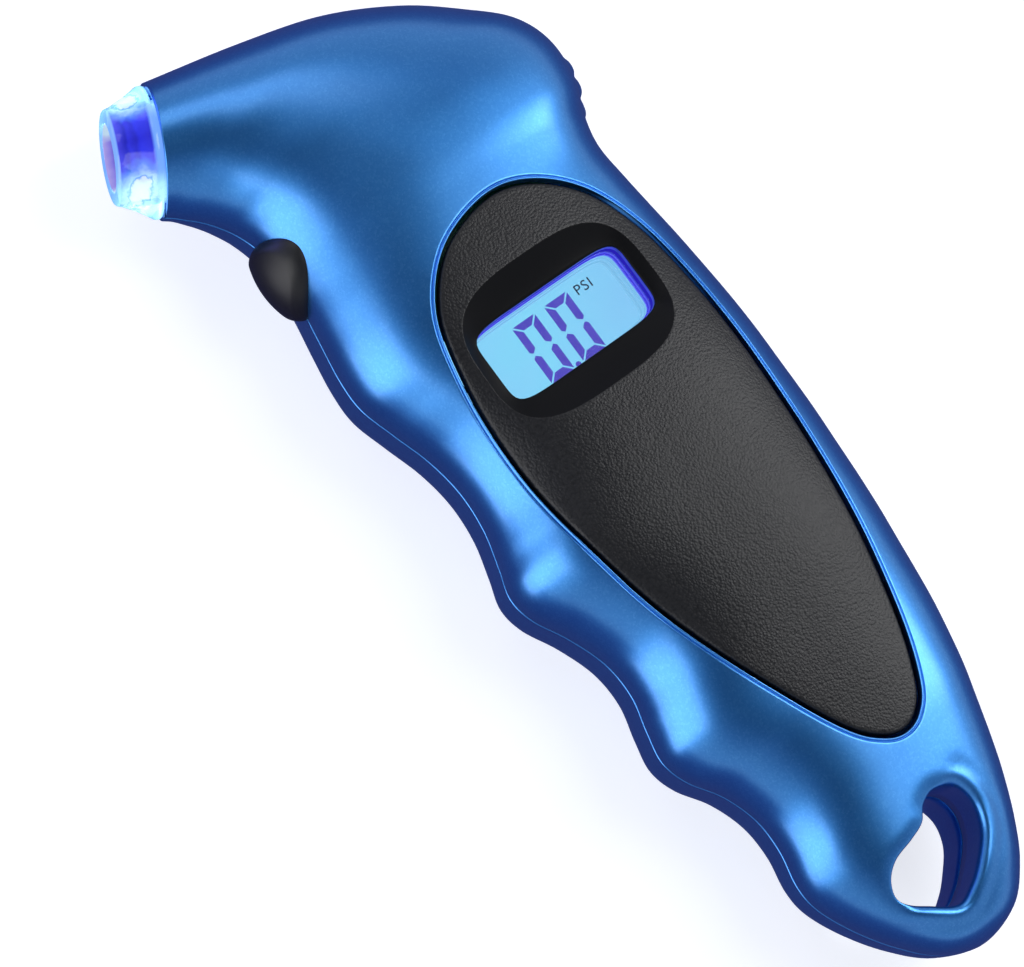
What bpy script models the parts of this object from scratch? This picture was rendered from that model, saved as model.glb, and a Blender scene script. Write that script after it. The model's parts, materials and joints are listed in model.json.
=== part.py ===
"""Digital tire pressure gauge with a pistol grip: two painted shell halves, a black face
panel with an LCD, a clear valve chuck, a sprung button and everything that they hold.

The plan lies in X and Y (+Y from tail to head, the chuck points to -X), Z runs from the
flat back to the face. The origin is under the middle of the object, on the rest plane.
"""
import math

import bmesh
import bpy
import numpy as np
from mathutils import Matrix, Vector

MM = 0.001

# ---- driving dimensions, metres -------------------------------------------------------
PLAN_LENGTH = 166.0 * MM      # tail to the top of the head
PLAN_WIDTH = 59.4 * MM        # crook to back edge of the casing, without the chuck
CROWN_HEIGHT = 15.5 * MM      # seam plane to the highest line of the front shell
BACK_DEPTH = 15.5 * MM        # seam plane to the lowest line of the rear shell
WALL = 2.2 * MM               # casing wall
SEAM_GAP = 0.3 * MM           # between the two halves
FIT = 0.3 * MM                # between any two pieces that touch
PANEL_THICK = 1.6 * MM
PANEL_RECESS = 0.25 * MM      # the panel lies this much under the paint
LEDGE = 1.5 * MM              # casing left under the panel and over the cover
COVER_THICK = 1.8 * MM
COVER_PROUD = 0.3 * MM        # the cover is what the gauge rests on
GRIP_SQUARENESS = 2.6         # section exponent of the front shell in the grip
BACK_SQUARENESS = 4.5         # the same for the rear shell
WINDOW_WIDTH = 25.2 * MM
WINDOW_HEIGHT = 11.8 * MM
WINDOW_POWER = 7.0            # corner exponent of the window, the lens and the light guide
SCOOP_WIDTH = WINDOW_WIDTH + 4.0 * MM         # the scoop and the LCD go with the window
SCOOP_HEIGHT = WINDOW_HEIGHT + 10.2 * MM
SCOOP_POWER = 3.2
SCOOP_DEPTH = 2.4 * MM
CHUCK_RADIUS = 9.7 * MM       # round end of the casing
CHUCK_LENGTH = 6.3 * MM       # clear part that shows
CHUCK_TIP_RADIUS = 6.9 * MM
CHUCK_ANGLE = math.radians(25.5)
SOCKET_RADIUS = 4.6 * MM      # passes the 7.7 mm thread of a tire valve
SOCKET_DEPTH = 10.8 * MM
BUTTON_TRAVEL = 0.8 * MM
SCREW_RADIUS = 1.2 * MM
SCREW_HEAD_RADIUS = 2.4 * MM
SCREW_LENGTH = 15.0 * MM
SMALL_SCREW_RADIUS = 0.8 * MM
SMALL_HEAD_RADIUS = 1.5 * MM  # on the board and the clamp
SMALL_HEAD_THICK = 1.0 * MM
BOARD_SCREW_LENGTH = 5.6 * MM
CLAMP_SCREW_LENGTH = 6.0 * MM
COVER_SCREW_LENGTH = 7.0 * MM
COVER_HEAD_RADIUS = 1.7 * MM
COVER_HEAD_THICK = 0.8 * MM
COVER_SINK = 1.2 * MM         # counterbore of the cover's screw
POST_WALL = 1.3 * MM          # round a screw's head way
FRONT_POST_WALL = 2.0 * MM    # round a screw's pilot
BOSS_RADIUS = 2.2 * MM        # of the bosses for the small screws
RIDGE_RADIUS = 1.3 * MM       # thumb ridges
RIDGE_HEIGHT = 4.5 * MM       # over the seam, and under it
RIDGE_SINK = 1.4 * MM
COIN_RADIUS = 10.0 * MM
COIN_THICK = 3.2 * MM
CELL_RADIUS = 5.8 * MM
CELL_THICK = 5.4 * MM
LCD_WIDTH = WINDOW_WIDTH + 3.8 * MM
LCD_HEIGHT = WINDOW_HEIGHT + 5.2 * MM
BOARD_THICK = 1.2 * MM

# ---- drawing: plan points in mm, stretched to the driving length and width --------------
DRAWN_LENGTH = 166.0
DRAWN_WIDTH = 59.4
DRAWN_CROWN = 15.5
DRAWN_CHUCK = 9.7
HEAD_RIBS = 7                 # the last ribs, which swell with the chuck
X_SCALE = PLAN_WIDTH / DRAWN_WIDTH        # metres per drawn mm
Y_SCALE = PLAN_LENGTH / DRAWN_LENGTH

# one rib per row: left x, y, right x, y, crown and depth over the drawn crown, squareness
RIBS = [
    (-4.5, -85.6, -4.5, -85.6, 0.0, 0.0, 1.0),
    (-10.6, -83.2, 2.0, -83.7, 5.8, 6.0, 1.0),
    (-15.2, -78.5, 6.4, -79.2, 8.6, 8.9, 1.0),
    (-18.8, -73.0, 9.4, -74.0, 10.2, 10.6, 1.0),
    (-21.1, -67.7, 11.9, -68.3, 11.0, 11.6, 1.0),
    (-21.4, -63.5, 13.6, -63.5, 11.4, 12.3, 1.0),
    (-20.4, -58.3, 15.3, -57.8, 11.9, 13.2, 1.0),
    (-20.5, -53.0, 16.8, -52.6, 12.4, 14.2, 1.0),
    (-22.3, -47.7, 17.9, -47.6, 12.8, 15.0, 1.0),
    (-25.3, -43.0, 18.8, -42.8, 13.2, 15.5, 1.0),
    (-26.5, -38.8, 19.4, -38.0, 13.6, 15.5, 1.0),
    (-25.7, -34.2, 19.9, -33.0, 14.0, 15.5, 1.0),
    (-24.4, -28.8, 20.4, -28.0, 14.4, 15.5, 1.0),
    (-24.7, -23.2, 20.8, -22.5, 14.7, 15.5, 1.0),
    (-26.8, -17.4, 21.1, -17.0, 15.0, 15.5, 1.0),
    (-29.5, -12.2, 21.4, -11.8, 15.2, 15.5, 1.0),
    (-30.2, -8.0, 21.5, -7.5, 15.3, 15.5, 1.0),
    (-28.9, -3.6, 21.5, -3.0, 15.4, 15.5, 1.0),
    (-27.4, 2.0, 21.5, 2.5, 15.5, 15.5, 1.0),
    (-27.0, 8.0, 21.3, 8.3, 15.5, 15.5, 1.0),
    (-27.9, 14.0, 20.9, 14.0, 15.5, 15.5, 1.0),
    (-29.8, 20.0, 20.4, 20.0, 15.5, 15.5, 1.0),
    (-31.4, 25.5, 19.8, 25.5, 15.5, 15.5, 1.0),
    (-31.4, 30.5, 19.2, 31.0, 15.5, 15.5, 1.0),
    (-30.5, 36.5, 18.8, 36.5, 15.4, 15.5, 1.0),
    (-29.6, 42.3, 19.9, 41.3, 15.3, 15.2, 0.95),
    (-29.3, 47.5, 22.2, 46.5, 15.2, 14.8, 0.85),
    (-29.7, 52.0, 22.7, 53.0, 14.9, 14.2, 0.75),
    (-31.0, 55.6, 20.6, 58.6, 14.4, 13.6, 0.6),
    (-32.6, 58.2, 15.5, 63.6, 13.8, 13.0, 0.45),
    (-34.1, 60.0, 8.0, 69.4, 13.0, 12.4, 0.3),
    (-35.6, 61.4, -2.5, 74.6, 12.0, 11.6, 0.15),
    (-36.8, 62.5, -15.0, 77.9, 10.8, 10.6, 0.05),
]
CHUCK_CENTRE = (-33.6, 71.95)

# outline of the face panel's pocket, clockwise from its top
PANEL_OUTLINE = [
    (-3.6, 38.5), (3.4, 37.0), (9.8, 31.6), (13.7, 23.5), (15.4, 13.0), (15.9, 0.0),
    (15.2, -14.0), (13.2, -29.0), (10.2, -41.8), (6.8, -50.4), (3.9, -53.9), (0.8, -54.9),
    (-2.3, -53.7), (-5.6, -50.2), (-9.7, -42.4), (-14.4, -31.2), (-18.7, -17.0),
    (-21.1, -4.0), (-21.6, 8.0), (-20.9, 19.5), (-18.4, 29.0), (-12.3, 35.7),
]
# teardrop hole for a lanyard, clockwise from its top
HOLE_OUTLINE = [
    (-0.4, -63.7), (2.6, -65.3), (3.5, -68.5), (2.4, -72.0), (-0.2, -74.9), (-3.2, -77.3),
    (-6.3, -78.5), (-9.9, -76.3), (-13.2, -73.4), (-12.9, -70.5), (-10.7, -68.4),
    (-7.2, -67.4), (-4.6, -66.4), (-2.9, -64.5),
]
# battery cover, clockwise from its top left
COVER_OUTLINE = [
    (-3.2, 21.5), (7.0, 20.0), (11.6, 12.0), (12.4, 0.0), (11.6, -16.0), (8.0, -31.0),
    (2.6, -41.0), (-3.2, -43.0), (-9.4, -41.0), (-14.6, -31.0), (-17.8, -16.0),
    (-18.6, 0.0), (-17.8, 12.0), (-13.2, 20.0),
]
# button in the crook: place along the crook and half height, from its low tip up
BUTTON_OUTLINE = [
    (40.2, 0.0), (41.2, 2.9), (43.0, 5.7), (45.4, 7.7), (48.2, 8.3), (50.6, 7.2),
    (52.1, 4.4), (52.6, 0.0), (52.1, -4.4), (50.6, -7.2), (48.2, -8.3), (45.4, -7.7),
    (43.0, -5.7), (41.2, -2.9),
]
BOARD_OUTLINE = [
    (-18.3, -12.0), (10.6, -12.0), (10.6, 42.5), (7.0, 50.5), (-22.6, 50.5),
    (-22.6, 43.5), (-18.3, 40.0),
]
DISPLAY_CENTRE = (-3.7, 18.1)
SCREW_BY_LCD = DISPLAY_CENTRE[0] - (LCD_WIDTH / 2 + 5.0 * MM) / X_SCALE
SHELL_SCREWS = [
    (-3.2, -60.5), (14.0, -40.0), (SCREW_BY_LCD, 27.0), (15.4, 48.5), (3.0, 65.0),
]
BOARD_SCREWS = [(-15.3, -8.5), (7.6, -8.5), (-2.0, 46.8)]
COVER_SCREW = (-3.2, -38.8)
COIN_PLACE = (-3.2, 4.0)
CELL_PLACES = [(-9.5, -15.5), (3.1, -15.5), (-3.2, -27.0)]
CHIP_PLACE = (-4.0, 34.0)
DOME_PLACE = (-22.0, 46.8)    # middle of the stretched sphere that rounds the button
SWITCH_PLACE = 47.0
RIDGES = [(21.6, 48.4), (20.8, 45.4), (19.3, 42.5)]

SEAM_HEIGHT = BACK_DEPTH + COVER_PROUD
COVER_POCKET = BACK_DEPTH - COVER_THICK     # depth of the pocket's floor under the seam
INNER_BACK = COVER_POCKET - LEDGE           # inside face over that floor
SEAT_DROP = PANEL_RECESS + PANEL_THICK + FIT
SEAT_INSET = 0.8 * SEAT_DROP                  # the seat's drop at the flanks
INNER_DROP = SEAT_DROP + LEDGE


# ---- collections and materials -----------------------------------------------------------
def clear_scene():
    for old in list(bpy.data.objects):
        bpy.data.objects.remove(old, do_unlink=True)


def new_collection(name):
    made = bpy.data.collections.new(name)
    bpy.context.scene.collection.children.link(made)
    return made


clear_scene()
PARTS = new_collection("tire_pressure_gauge")
CUTTERS = new_collection("cutters")


def material(name, colour, roughness, metallic=0.0):
    made = bpy.data.materials.get(name) or bpy.data.materials.new(name)
    made.use_nodes = True
    shader = made.node_tree.nodes["Principled BSDF"]
    shader.inputs["Base Color"].default_value = (*colour, 1.0)
    shader.inputs["Roughness"].default_value = roughness
    shader.inputs["Metallic"].default_value = metallic
    return made


BLUE_PAINT = material("metallic_blue_paint", (0.05, 0.22, 0.62), 0.3, 0.6)
BLACK_PANEL = material("grained_black_abs", (0.025, 0.025, 0.028), 0.55)
BLACK_RUBBER = material("soft_touch_rubber", (0.012, 0.012, 0.013), 0.6)
CLEAR = material("clear_polycarbonate", (0.75, 0.85, 0.95), 0.05)
LCD = material("lcd_glass", (0.4, 0.75, 0.95), 0.1)
WHITE = material("white_abs", (0.85, 0.87, 0.9), 0.4)
BOARD = material("green_circuit_board", (0.02, 0.2, 0.06), 0.4)
STEEL = material("plated_steel", (0.6, 0.6, 0.62), 0.3, 1.0)
BRASS = material("brass", (0.7, 0.5, 0.2), 0.3, 1.0)
SILICONE = material("grey_silicone", (0.3, 0.3, 0.32), 0.6)
EPOXY = material("black_epoxy", (0.02, 0.02, 0.02), 0.4)


# ---- plan geometry -----------------------------------------------------------------------
def plan(point):
    """A drawn plan point, in metres."""
    return np.array([point[0] * X_SCALE, point[1] * Y_SCALE])


def plan_points(outline):
    return np.array([plan(p) for p in outline])


CHUCK_AXIS = np.array([-math.cos(CHUCK_ANGLE), math.sin(CHUCK_ANGLE)])
CHUCK_ACROSS = np.array([math.sin(CHUCK_ANGLE), math.cos(CHUCK_ANGLE)])
CHUCK_PLACE = plan(CHUCK_CENTRE)


def rib_table():
    """The ribs in metres, with the round end of the casing as the last one.

    A chuck that differs from the drawn one swells the last ribs, each by a smaller share.
    """
    rows = []
    swell = CHUCK_RADIUS - DRAWN_CHUCK * MM
    for i, (lx, ly, rx, ry, crown, depth, square) in enumerate(RIBS, HEAD_RIBS - len(RIBS)):
        more = swell * max(i, 0) / HEAD_RIBS
        left = plan((lx, ly)) - more * CHUCK_ACROSS
        right = plan((rx, ry)) + more * CHUCK_ACROSS
        high = crown / DRAWN_CROWN * CROWN_HEIGHT + more
        deep = depth / DRAWN_CROWN * BACK_DEPTH + more
        rows.append([*left, *right, high, deep, square])
    left = CHUCK_PLACE - CHUCK_RADIUS * CHUCK_ACROSS
    right = CHUCK_PLACE + CHUCK_RADIUS * CHUCK_ACROSS
    rows.append([*left, *right, CHUCK_RADIUS, CHUCK_RADIUS, 0.0])
    return np.array(rows)


def catmull_rom(rows, before, after, steps):
    """Rows of a Catmull-Rom curve through the given rows, with steps rows per span."""
    knots = np.vstack([before, rows, after])
    place = np.linspace(0, len(rows) - 1, (len(rows) - 1) * steps + 1)
    span = np.minimum(place.astype(int), len(rows) - 2)
    f = (place - span)[:, None]
    a, b, c, d = (knots[span + k] for k in range(4))
    return 0.5 * (2 * b + (c - a) * f + (2 * a - 5 * b + 4 * c - d) * f**2
                  + (3 * b - a - 3 * c + d) * f**3)


def fine_ribs(steps):
    """Ribs between the drawn ones. The tail closes round: its far rib mirrors the next one."""
    rows = rib_table()
    before = rows[1].copy()
    before[[0, 1, 2, 3]] = rows[1][[2, 3, 0, 1]]
    before[[4, 5]] *= -1
    after = 2 * rows[-1] - rows[-2]
    return catmull_rom(rows, before, after, steps)


def closed_curve(outline, steps):
    """A smooth closed outline through the plan points."""
    rows = plan_points(outline)
    around = np.vstack([rows, rows[:1]])
    return catmull_rom(around, rows[-1], rows[1], steps)[:-1]


def grown(outline, amount):
    """An outline (clockwise) moved outward by amount."""
    ahead = np.roll(outline, -1, axis=0) - np.roll(outline, 1, axis=0)
    normal = np.stack([-ahead[:, 1], ahead[:, 0]], axis=1)
    normal /= np.linalg.norm(normal, axis=1)[:, None]
    return outline + amount * normal


def superellipse(centre, width, height, power, count):
    """Points around |x/a|^n + |y/b|^n = 1."""
    angle = np.linspace(0, 2 * math.pi, count, endpoint=False)
    c = np.cos(angle)
    s = np.sin(angle)
    x = centre[0] + width / 2 * np.sign(c) * np.abs(c) ** (2 / power)
    y = centre[1] + height / 2 * np.sign(s) * np.abs(s) ** (2 / power)
    return np.stack([x, y], axis=1)


# ---- makers ------------------------------------------------------------------------------
def finish(mesh, name, mat, cutter):
    """The object of a mesh, in the parts or as a hidden cutter."""
    made = bpy.data.objects.new(name, mesh)
    (CUTTERS if cutter else PARTS).objects.link(made)
    if cutter:
        made.hide_render = True
        made.display_type = "WIRE"
    else:
        mesh.materials.clear()
        mesh.materials.append(mat)
    return made


def clean_mesh(name, points, faces):
    """A mesh from points and faces, doubles merged and faces turned outward."""
    mesh = bpy.data.meshes.new(name)
    mesh.from_pydata([tuple(p) for p in points], [], faces)
    bm = bmesh.new()
    bm.from_mesh(mesh)
    bmesh.ops.remove_doubles(bm, verts=bm.verts, dist=0.00001)
    bmesh.ops.dissolve_degenerate(bm, edges=bm.edges, dist=0.00001)
    bmesh.ops.triangulate(bm, faces=bm.faces)
    bmesh.ops.recalc_face_normals(bm, faces=bm.faces)
    bm.to_mesh(mesh)
    bm.free()
    return mesh


def loft(name, rings, mat=None, cutter=True):
    """A closed body through rings of points that match one to one."""
    rings = np.array(rings)
    count, around = rings.shape[:2]
    faces = []
    for i in range(count - 1):
        for j in range(around):
            k = (j + 1) % around
            faces.append((i * around + j, i * around + k,
                          (i + 1) * around + k, (i + 1) * around + j))
    faces.append(tuple(range(around)))
    faces.append(tuple(range((count - 1) * around, count * around)))
    return finish(clean_mesh(name, rings.reshape(-1, 3), faces), name, mat, cutter)


def prism(name, outline, low, high, mat=None, cutter=True, matrix=None):
    """An outline as a flat curve, extruded between two heights over the seam plane."""
    curve = bpy.data.curves.new(name, "CURVE")
    curve.dimensions = "2D"
    curve.fill_mode = "BOTH"
    curve.extrude = (high - low) / 2
    spline = curve.splines.new("POLY")
    spline.points.add(len(outline) - 1)
    for point, (x, y) in zip(spline.points, outline):
        point.co = (x, y, 0, 1)
    spline.use_cyclic_u = True
    holder = bpy.data.objects.new(name + "_curve", curve)
    bpy.context.scene.collection.objects.link(holder)
    bpy.context.view_layer.update()
    shaped = holder.evaluated_get(bpy.context.evaluated_depsgraph_get())
    mesh = bpy.data.meshes.new_from_object(shaped)
    bpy.data.objects.remove(holder, do_unlink=True)
    bpy.data.curves.remove(curve)
    bm = bmesh.new()
    bm.from_mesh(mesh)
    bmesh.ops.remove_doubles(bm, verts=bm.verts, dist=0.00001)
    bmesh.ops.recalc_face_normals(bm, faces=bm.faces)
    bmesh.ops.translate(bm, verts=bm.verts, vec=(0, 0, (low + high) / 2))
    if matrix is not None:
        bmesh.ops.transform(bm, matrix=matrix, verts=bm.verts)
    bm.to_mesh(mesh)
    bm.free()
    return finish(mesh, name, mat, cutter)


def box(name, low, high, mat=None, cutter=True):
    """A cube primitive between two corners, in metres over the seam plane."""
    low = Vector(low)
    high = Vector(high)
    bm = bmesh.new()
    bmesh.ops.create_cube(bm, size=1)
    bmesh.ops.scale(bm, vec=high - low, verts=bm.verts)
    bmesh.ops.translate(bm, vec=(low + high) / 2, verts=bm.verts)
    mesh = bpy.data.meshes.new(name)
    bm.to_mesh(mesh)
    bm.free()
    return finish(mesh, name, mat, cutter)


def cylinder(name, radius, low, high, place, sides=20, mat=None, cutter=True):
    """An upright cylinder primitive at a plan place."""
    bm = bmesh.new()
    bmesh.ops.create_cone(bm, cap_ends=True, segments=sides, radius1=radius, radius2=radius,
                          depth=high - low)
    bmesh.ops.translate(bm, vec=(place[0], place[1], (low + high) / 2), verts=bm.verts)
    mesh = bpy.data.meshes.new(name)
    bm.to_mesh(mesh)
    bm.free()
    return finish(mesh, name, mat, cutter)


def turned(name, profile, mat=None, cutter=False, sides=24, ring=False, matrix=None):
    """A turned piece: radius and height pairs run down its outer side, then a Screw modifier."""
    mesh = bpy.data.meshes.new(name)
    points = [(r, 0, z) for r, z in profile]
    edges = [(i, i + 1) for i in range(len(points) - 1)]
    if ring:
        edges.append((len(points) - 1, 0))
    mesh.from_pydata(points, edges, [])
    made = finish(mesh, name, mat, cutter)
    screw = made.modifiers.new("turn", "SCREW")
    screw.axis = "Z"
    screw.steps = sides
    screw.render_steps = sides
    screw.use_merge_vertices = True
    screw.merge_threshold = 0.00001
    screw.use_smooth_shade = False
    bake(made)
    if matrix is not None:
        made.data.transform(matrix)
    return made


def bake(target):
    """Applies an object's modifiers to its mesh."""
    bpy.context.view_layer.update()
    shaped = target.evaluated_get(bpy.context.evaluated_depsgraph_get())
    mesh = bpy.data.meshes.new_from_object(shaped)
    mesh.name = target.name
    target.modifiers.clear()
    target.data = mesh
    return target


def combine(target, operation, others, solver="EXACT"):
    """Booleans of others on target, one after another, then applied."""
    for other in others:
        cut = target.modifiers.new(other.name, "BOOLEAN")
        cut.operation = operation
        cut.solver = solver
        cut.object = other
        bake(target)
    return target


def chuck_matrix():
    """Places a turned piece on the chuck axis: its Z points out of the mouth."""
    z = Vector((*CHUCK_AXIS, 0))
    x = Vector((*CHUCK_ACROSS, 0))
    y = z.cross(x)
    turn = Matrix((x, y, z)).transposed().to_4x4()
    return Matrix.Translation((*CHUCK_PLACE, 0)) @ turn


def chuck_point(out, across, high=0.0):
    """A point out along the chuck axis, across it in plan, and high over the seam."""
    flat = CHUCK_PLACE + out * CHUCK_AXIS + across * CHUCK_ACROSS
    return (flat[0], flat[1], high)


# ---- the casing ----------------------------------------------------------------------------
ARCH_STEPS = 12
SHELL_SOLVER = "MANIFOLD"     # the shells' long chains of cuts fail with the exact solver


ARCH_BASE = SEAM_GAP / 2 - 0.05 * MM      # where the arches start, just past the seam face


def half_solid(name, front, inset, drop, steps, sink=0.0, first=0, overrun=0.0):
    """One half of the casing as a closed body.

    Each section is a superelliptic arch from the left edge over the spine to the right
    edge; inset and drop shrink it, sink carries it on past the seam plane, and overrun
    carries it out of the round end.
    """
    ribs = fine_ribs(steps)[first * steps:]
    if overrun:
        last = ribs[-1].copy()
        last[:4] += np.tile(CHUCK_AXIS * overrun, 2)
        ribs = np.vstack([ribs, last])
    angle = np.linspace(0, math.pi, ARCH_STEPS + 1)
    side = 1.0 if front else -1.0
    rings = []
    for lx, ly, rx, ry, crown, depth, square in ribs:
        left = np.array([lx, ly])
        right = np.array([rx, ry])
        width = np.linalg.norm(right - left)
        along = (right - left) / width if width > 0 else np.zeros(2)
        left = left + inset * along
        right = right - inset * along
        spine = (left + right) / 2
        flat_drop = inset + (drop - inset) * square
        high = max((crown if front else depth) - flat_drop, 0.0)
        grip = GRIP_SQUARENESS if front else BACK_SQUARENESS
        power = 2 + (grip - 2) * square
        c = np.cos(angle)
        s = np.sin(angle)
        reach = np.abs(c) ** (2 / power)
        edge = np.where((c > 0)[:, None], left, right)
        flat = spine + (edge - spine) * reach[:, None]
        z = side * (ARCH_BASE + high * np.abs(s) ** (2 / power))
        ring = np.column_stack([flat, z])
        if sink:
            under = [[*right, -side * sink], [*left, -side * sink]]
            ring = np.vstack([ring, under])
        rings.append(ring)
    return loft(name, rings)


def shell_posts(front):
    """Screw posts that stay standing when the inside of a half is cut away."""
    side = 1.0 if front else -1.0
    radius = SCREW_RADIUS + FRONT_POST_WALL if front else SCREW_HEAD_RADIUS + FIT + POST_WALL
    low, high = sorted((-side * 1.6 * MM, side * 2 * CROWN_HEIGHT))
    posts = []
    for i, place in enumerate(SHELL_SCREWS):
        posts.append(cylinder(f"post_{i}", radius, low, high, plan(place)))
    return posts


LANYARD_WALL = 2.2 * MM
BUTTON_BACK = -24.0 * MM
BUTTON_FLANGE = 1.0 * MM


def button_prism(name, grow, left, right):
    """The button's outline, pushed along X between two places."""
    outline = np.array([(plan((0, y))[1], z * MM) for y, z in BUTTON_OUTLINE])
    shaped = grown(outline[::-1], -grow)
    turn = Matrix(((0, 0, 1, 0), (1, 0, 0, 0), (0, 1, 0, 0), (0, 0, 0, 1)))
    return prism(name, shaped, left, right, matrix=turn)


def crook_x(x):
    """An X measured on the button, tied to the crook's own place."""
    return x + plan((-29.3, 0))[0] + 29.3 * MM


def lanyard_hole(name, grow):
    hole = grown(closed_curve(HOLE_OUTLINE, 2), grow)
    return prism(name, hole, -2 * BACK_DEPTH, 2 * CROWN_HEIGHT)


def ridge_bars(front):
    """Three small thumb ridges over the back edge of the grip."""
    side = 1.0 if front else -1.0
    bars = []
    for i, place in enumerate(RIDGES):
        low, high = sorted((-side * RIDGE_SINK, side * RIDGE_HEIGHT))
        bars.append(cylinder(f"ridge_{i}", RIDGE_RADIUS, low, high, plan(place), sides=12))
    return bars


def seam_box(front):
    """The slab past a half's seam face, to cut that face flat."""
    side = 1.0 if front else -1.0
    low, high = sorted((side * SEAM_GAP / 2, -side * 4 * MM))
    x = PLAN_WIDTH
    y = PLAN_LENGTH
    return box("past_seam", (-x, -y, low), (x, y, high))


def button_cuts(tag):
    """The button's opening, and the wider pocket behind it for its flange."""
    hole = button_prism(f"button_hole_{tag}", FIT, crook_x(-45 * MM), crook_x(-22 * MM))
    pocket_left = crook_x(BUTTON_BACK) - 1.3 * MM
    pocket = button_prism(f"button_pocket_{tag}", BUTTON_FLANGE + 2 * FIT, pocket_left,
                          crook_x(-20.5 * MM))
    return [hole, pocket]


def make_front_shell():
    shell = half_solid("front_shell_body", True, 0, 0, 2, sink=1 * MM)
    combine(shell, "UNION", ridge_bars(True), SHELL_SOLVER)
    inside = half_solid("front_inside", True, WALL, INNER_DROP, 1, sink=2 * MM,
                        first=1, overrun=2 * MM)
    board_top = -0.5 * MM
    bosses = [cylinder(f"board_boss_{i}", BOSS_RADIUS, board_top, 2 * CROWN_HEIGHT, plan(p), 16)
              for i, p in enumerate(BOARD_SCREWS)]
    clamp_bosses = [cylinder(f"clamp_boss_{i}", BOSS_RADIUS, CLAMP_SEAT + FIT,
                             2 * CROWN_HEIGHT, p, 16)
                    for i, p in enumerate(clamp_screw_places())]
    keep = shell_posts(True) + [lanyard_hole("lanyard_wall_front", LANYARD_WALL)]
    combine(inside, "DIFFERENCE", keep + bosses + clamp_bosses, SHELL_SOLVER)
    pocket = prism("panel_pocket", closed_curve(PANEL_OUTLINE, 2), 2 * MM, 2 * CROWN_HEIGHT)
    seat = half_solid("panel_seat", True, SEAT_INSET, SEAT_DROP, 1, sink=2 * MM)
    combine(pocket, "DIFFERENCE", [seat], SHELL_SOLVER)
    well = prism("display_cut", well_outline(FIT + WELL_EASE), -1 * MM, 2 * CROWN_HEIGHT)
    pilots = [cylinder(f"pilot_{i}", SCREW_RADIUS + FIT, -3 * MM, SCREW_TIP + 0.6 * MM,
                       plan(p), 12) for i, p in enumerate(SHELL_SCREWS)]
    small = [cylinder(f"board_pilot_{i}", SMALL_SCREW_RADIUS + FIT, -3 * MM, 4.0 * MM,
                      plan(p), 10) for i, p in enumerate(BOARD_SCREWS)]
    small += [cylinder(f"clamp_pilot_{i}", SMALL_SCREW_RADIUS + FIT, -3 * MM, 4.6 * MM,
                       p, 10) for i, p in enumerate(clamp_screw_places())]
    cuts = [inside, pocket, well, lanyard_hole("lanyard_cut_front", 0)]
    cuts += button_cuts("front") + pilots + small + [seam_box(True)]
    combine(shell, "DIFFERENCE", cuts, SHELL_SOLVER)
    return release(shell, "front_shell", BLUE_PAINT)


def drop_slivers(mesh):
    """Removes faces that lie back to back, which a Boolean can leave with nothing between."""
    bm = bmesh.new()
    bm.from_mesh(mesh)
    bmesh.ops.remove_doubles(bm, verts=bm.verts, dist=0.002 * MM)
    bmesh.ops.triangulate(bm, faces=bm.faces)
    by_corners = {}
    for face in bm.faces:
        corners = frozenset(v.index for v in face.verts)
        by_corners.setdefault(corners, []).append(face)
    doubled = [face for group in by_corners.values() if len(group) > 1 for face in group]
    bmesh.ops.delete(bm, geom=doubled, context="FACES")
    bm.to_mesh(mesh)
    bm.free()


def release(shaped, name, mat):
    """Moves a finished body from the cutters to the parts, under its node's name."""
    drop_slivers(shaped.data)
    CUTTERS.objects.unlink(shaped)
    PARTS.objects.link(shaped)
    shaped.name = name
    shaped.data.name = name
    shaped.hide_render = False
    shaped.display_type = "TEXTURED"
    shaped.data.materials.clear()
    shaped.data.materials.append(mat)
    return shaped


SCREW_HEAD_THICK = 1.8 * MM
SCREW_TIP = 6.0 * MM
SCREW_SEAT = SCREW_TIP - SCREW_LENGTH         # head's face on its counterbore floor
COVER_POST_RADIUS = 3.2 * MM
COVER_POST_TOP = -5.5 * MM


def make_rear_shell():
    shell = half_solid("rear_shell_body", False, 0, 0, 1, sink=1 * MM)
    combine(shell, "UNION", ridge_bars(False), SHELL_SOLVER)
    inside = half_solid("rear_inside", False, WALL, BACK_DEPTH - INNER_BACK, 1, sink=2 * MM,
                        first=1, overrun=2 * MM)
    cover_post = cylinder("cover_post", COVER_POST_RADIUS, -2 * BACK_DEPTH, COVER_POST_TOP,
                          plan(COVER_SCREW), 16)
    keep = shell_posts(False) + [lanyard_hole("lanyard_wall_rear", LANYARD_WALL), cover_post]
    combine(inside, "DIFFERENCE", keep, SHELL_SOLVER)
    pocket = prism("cover_pocket", closed_curve(COVER_OUTLINE, 2), -2 * BACK_DEPTH,
                   -COVER_POCKET)
    bay = prism("battery_bay", bay_outline(-1.2 * MM), -2 * BACK_DEPTH, -INNER_BACK + 1 * MM)
    cuts = [inside, pocket, bay, lanyard_hole("lanyard_cut_rear", 0)]
    cuts += button_cuts("rear")
    for i, place in enumerate(SHELL_SCREWS):
        cuts.append(cylinder(f"screw_way_{i}", SCREW_RADIUS + FIT, -2 * BACK_DEPTH, 3 * MM,
                             plan(place), 12))
        cuts.append(cylinder(f"head_way_{i}", SCREW_HEAD_RADIUS + FIT, -2 * BACK_DEPTH,
                             SCREW_SEAT + FIT, plan(place), 16))
    cuts.append(cylinder("cover_pilot", SMALL_SCREW_RADIUS + FIT, -2 * BACK_DEPTH,
                         COVER_POST_TOP - 1.2 * MM, plan(COVER_SCREW), 12))
    combine(shell, "DIFFERENCE", cuts + [seam_box(False)], SHELL_SOLVER)
    return release(shell, "rear_shell", BLUE_PAINT)


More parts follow.
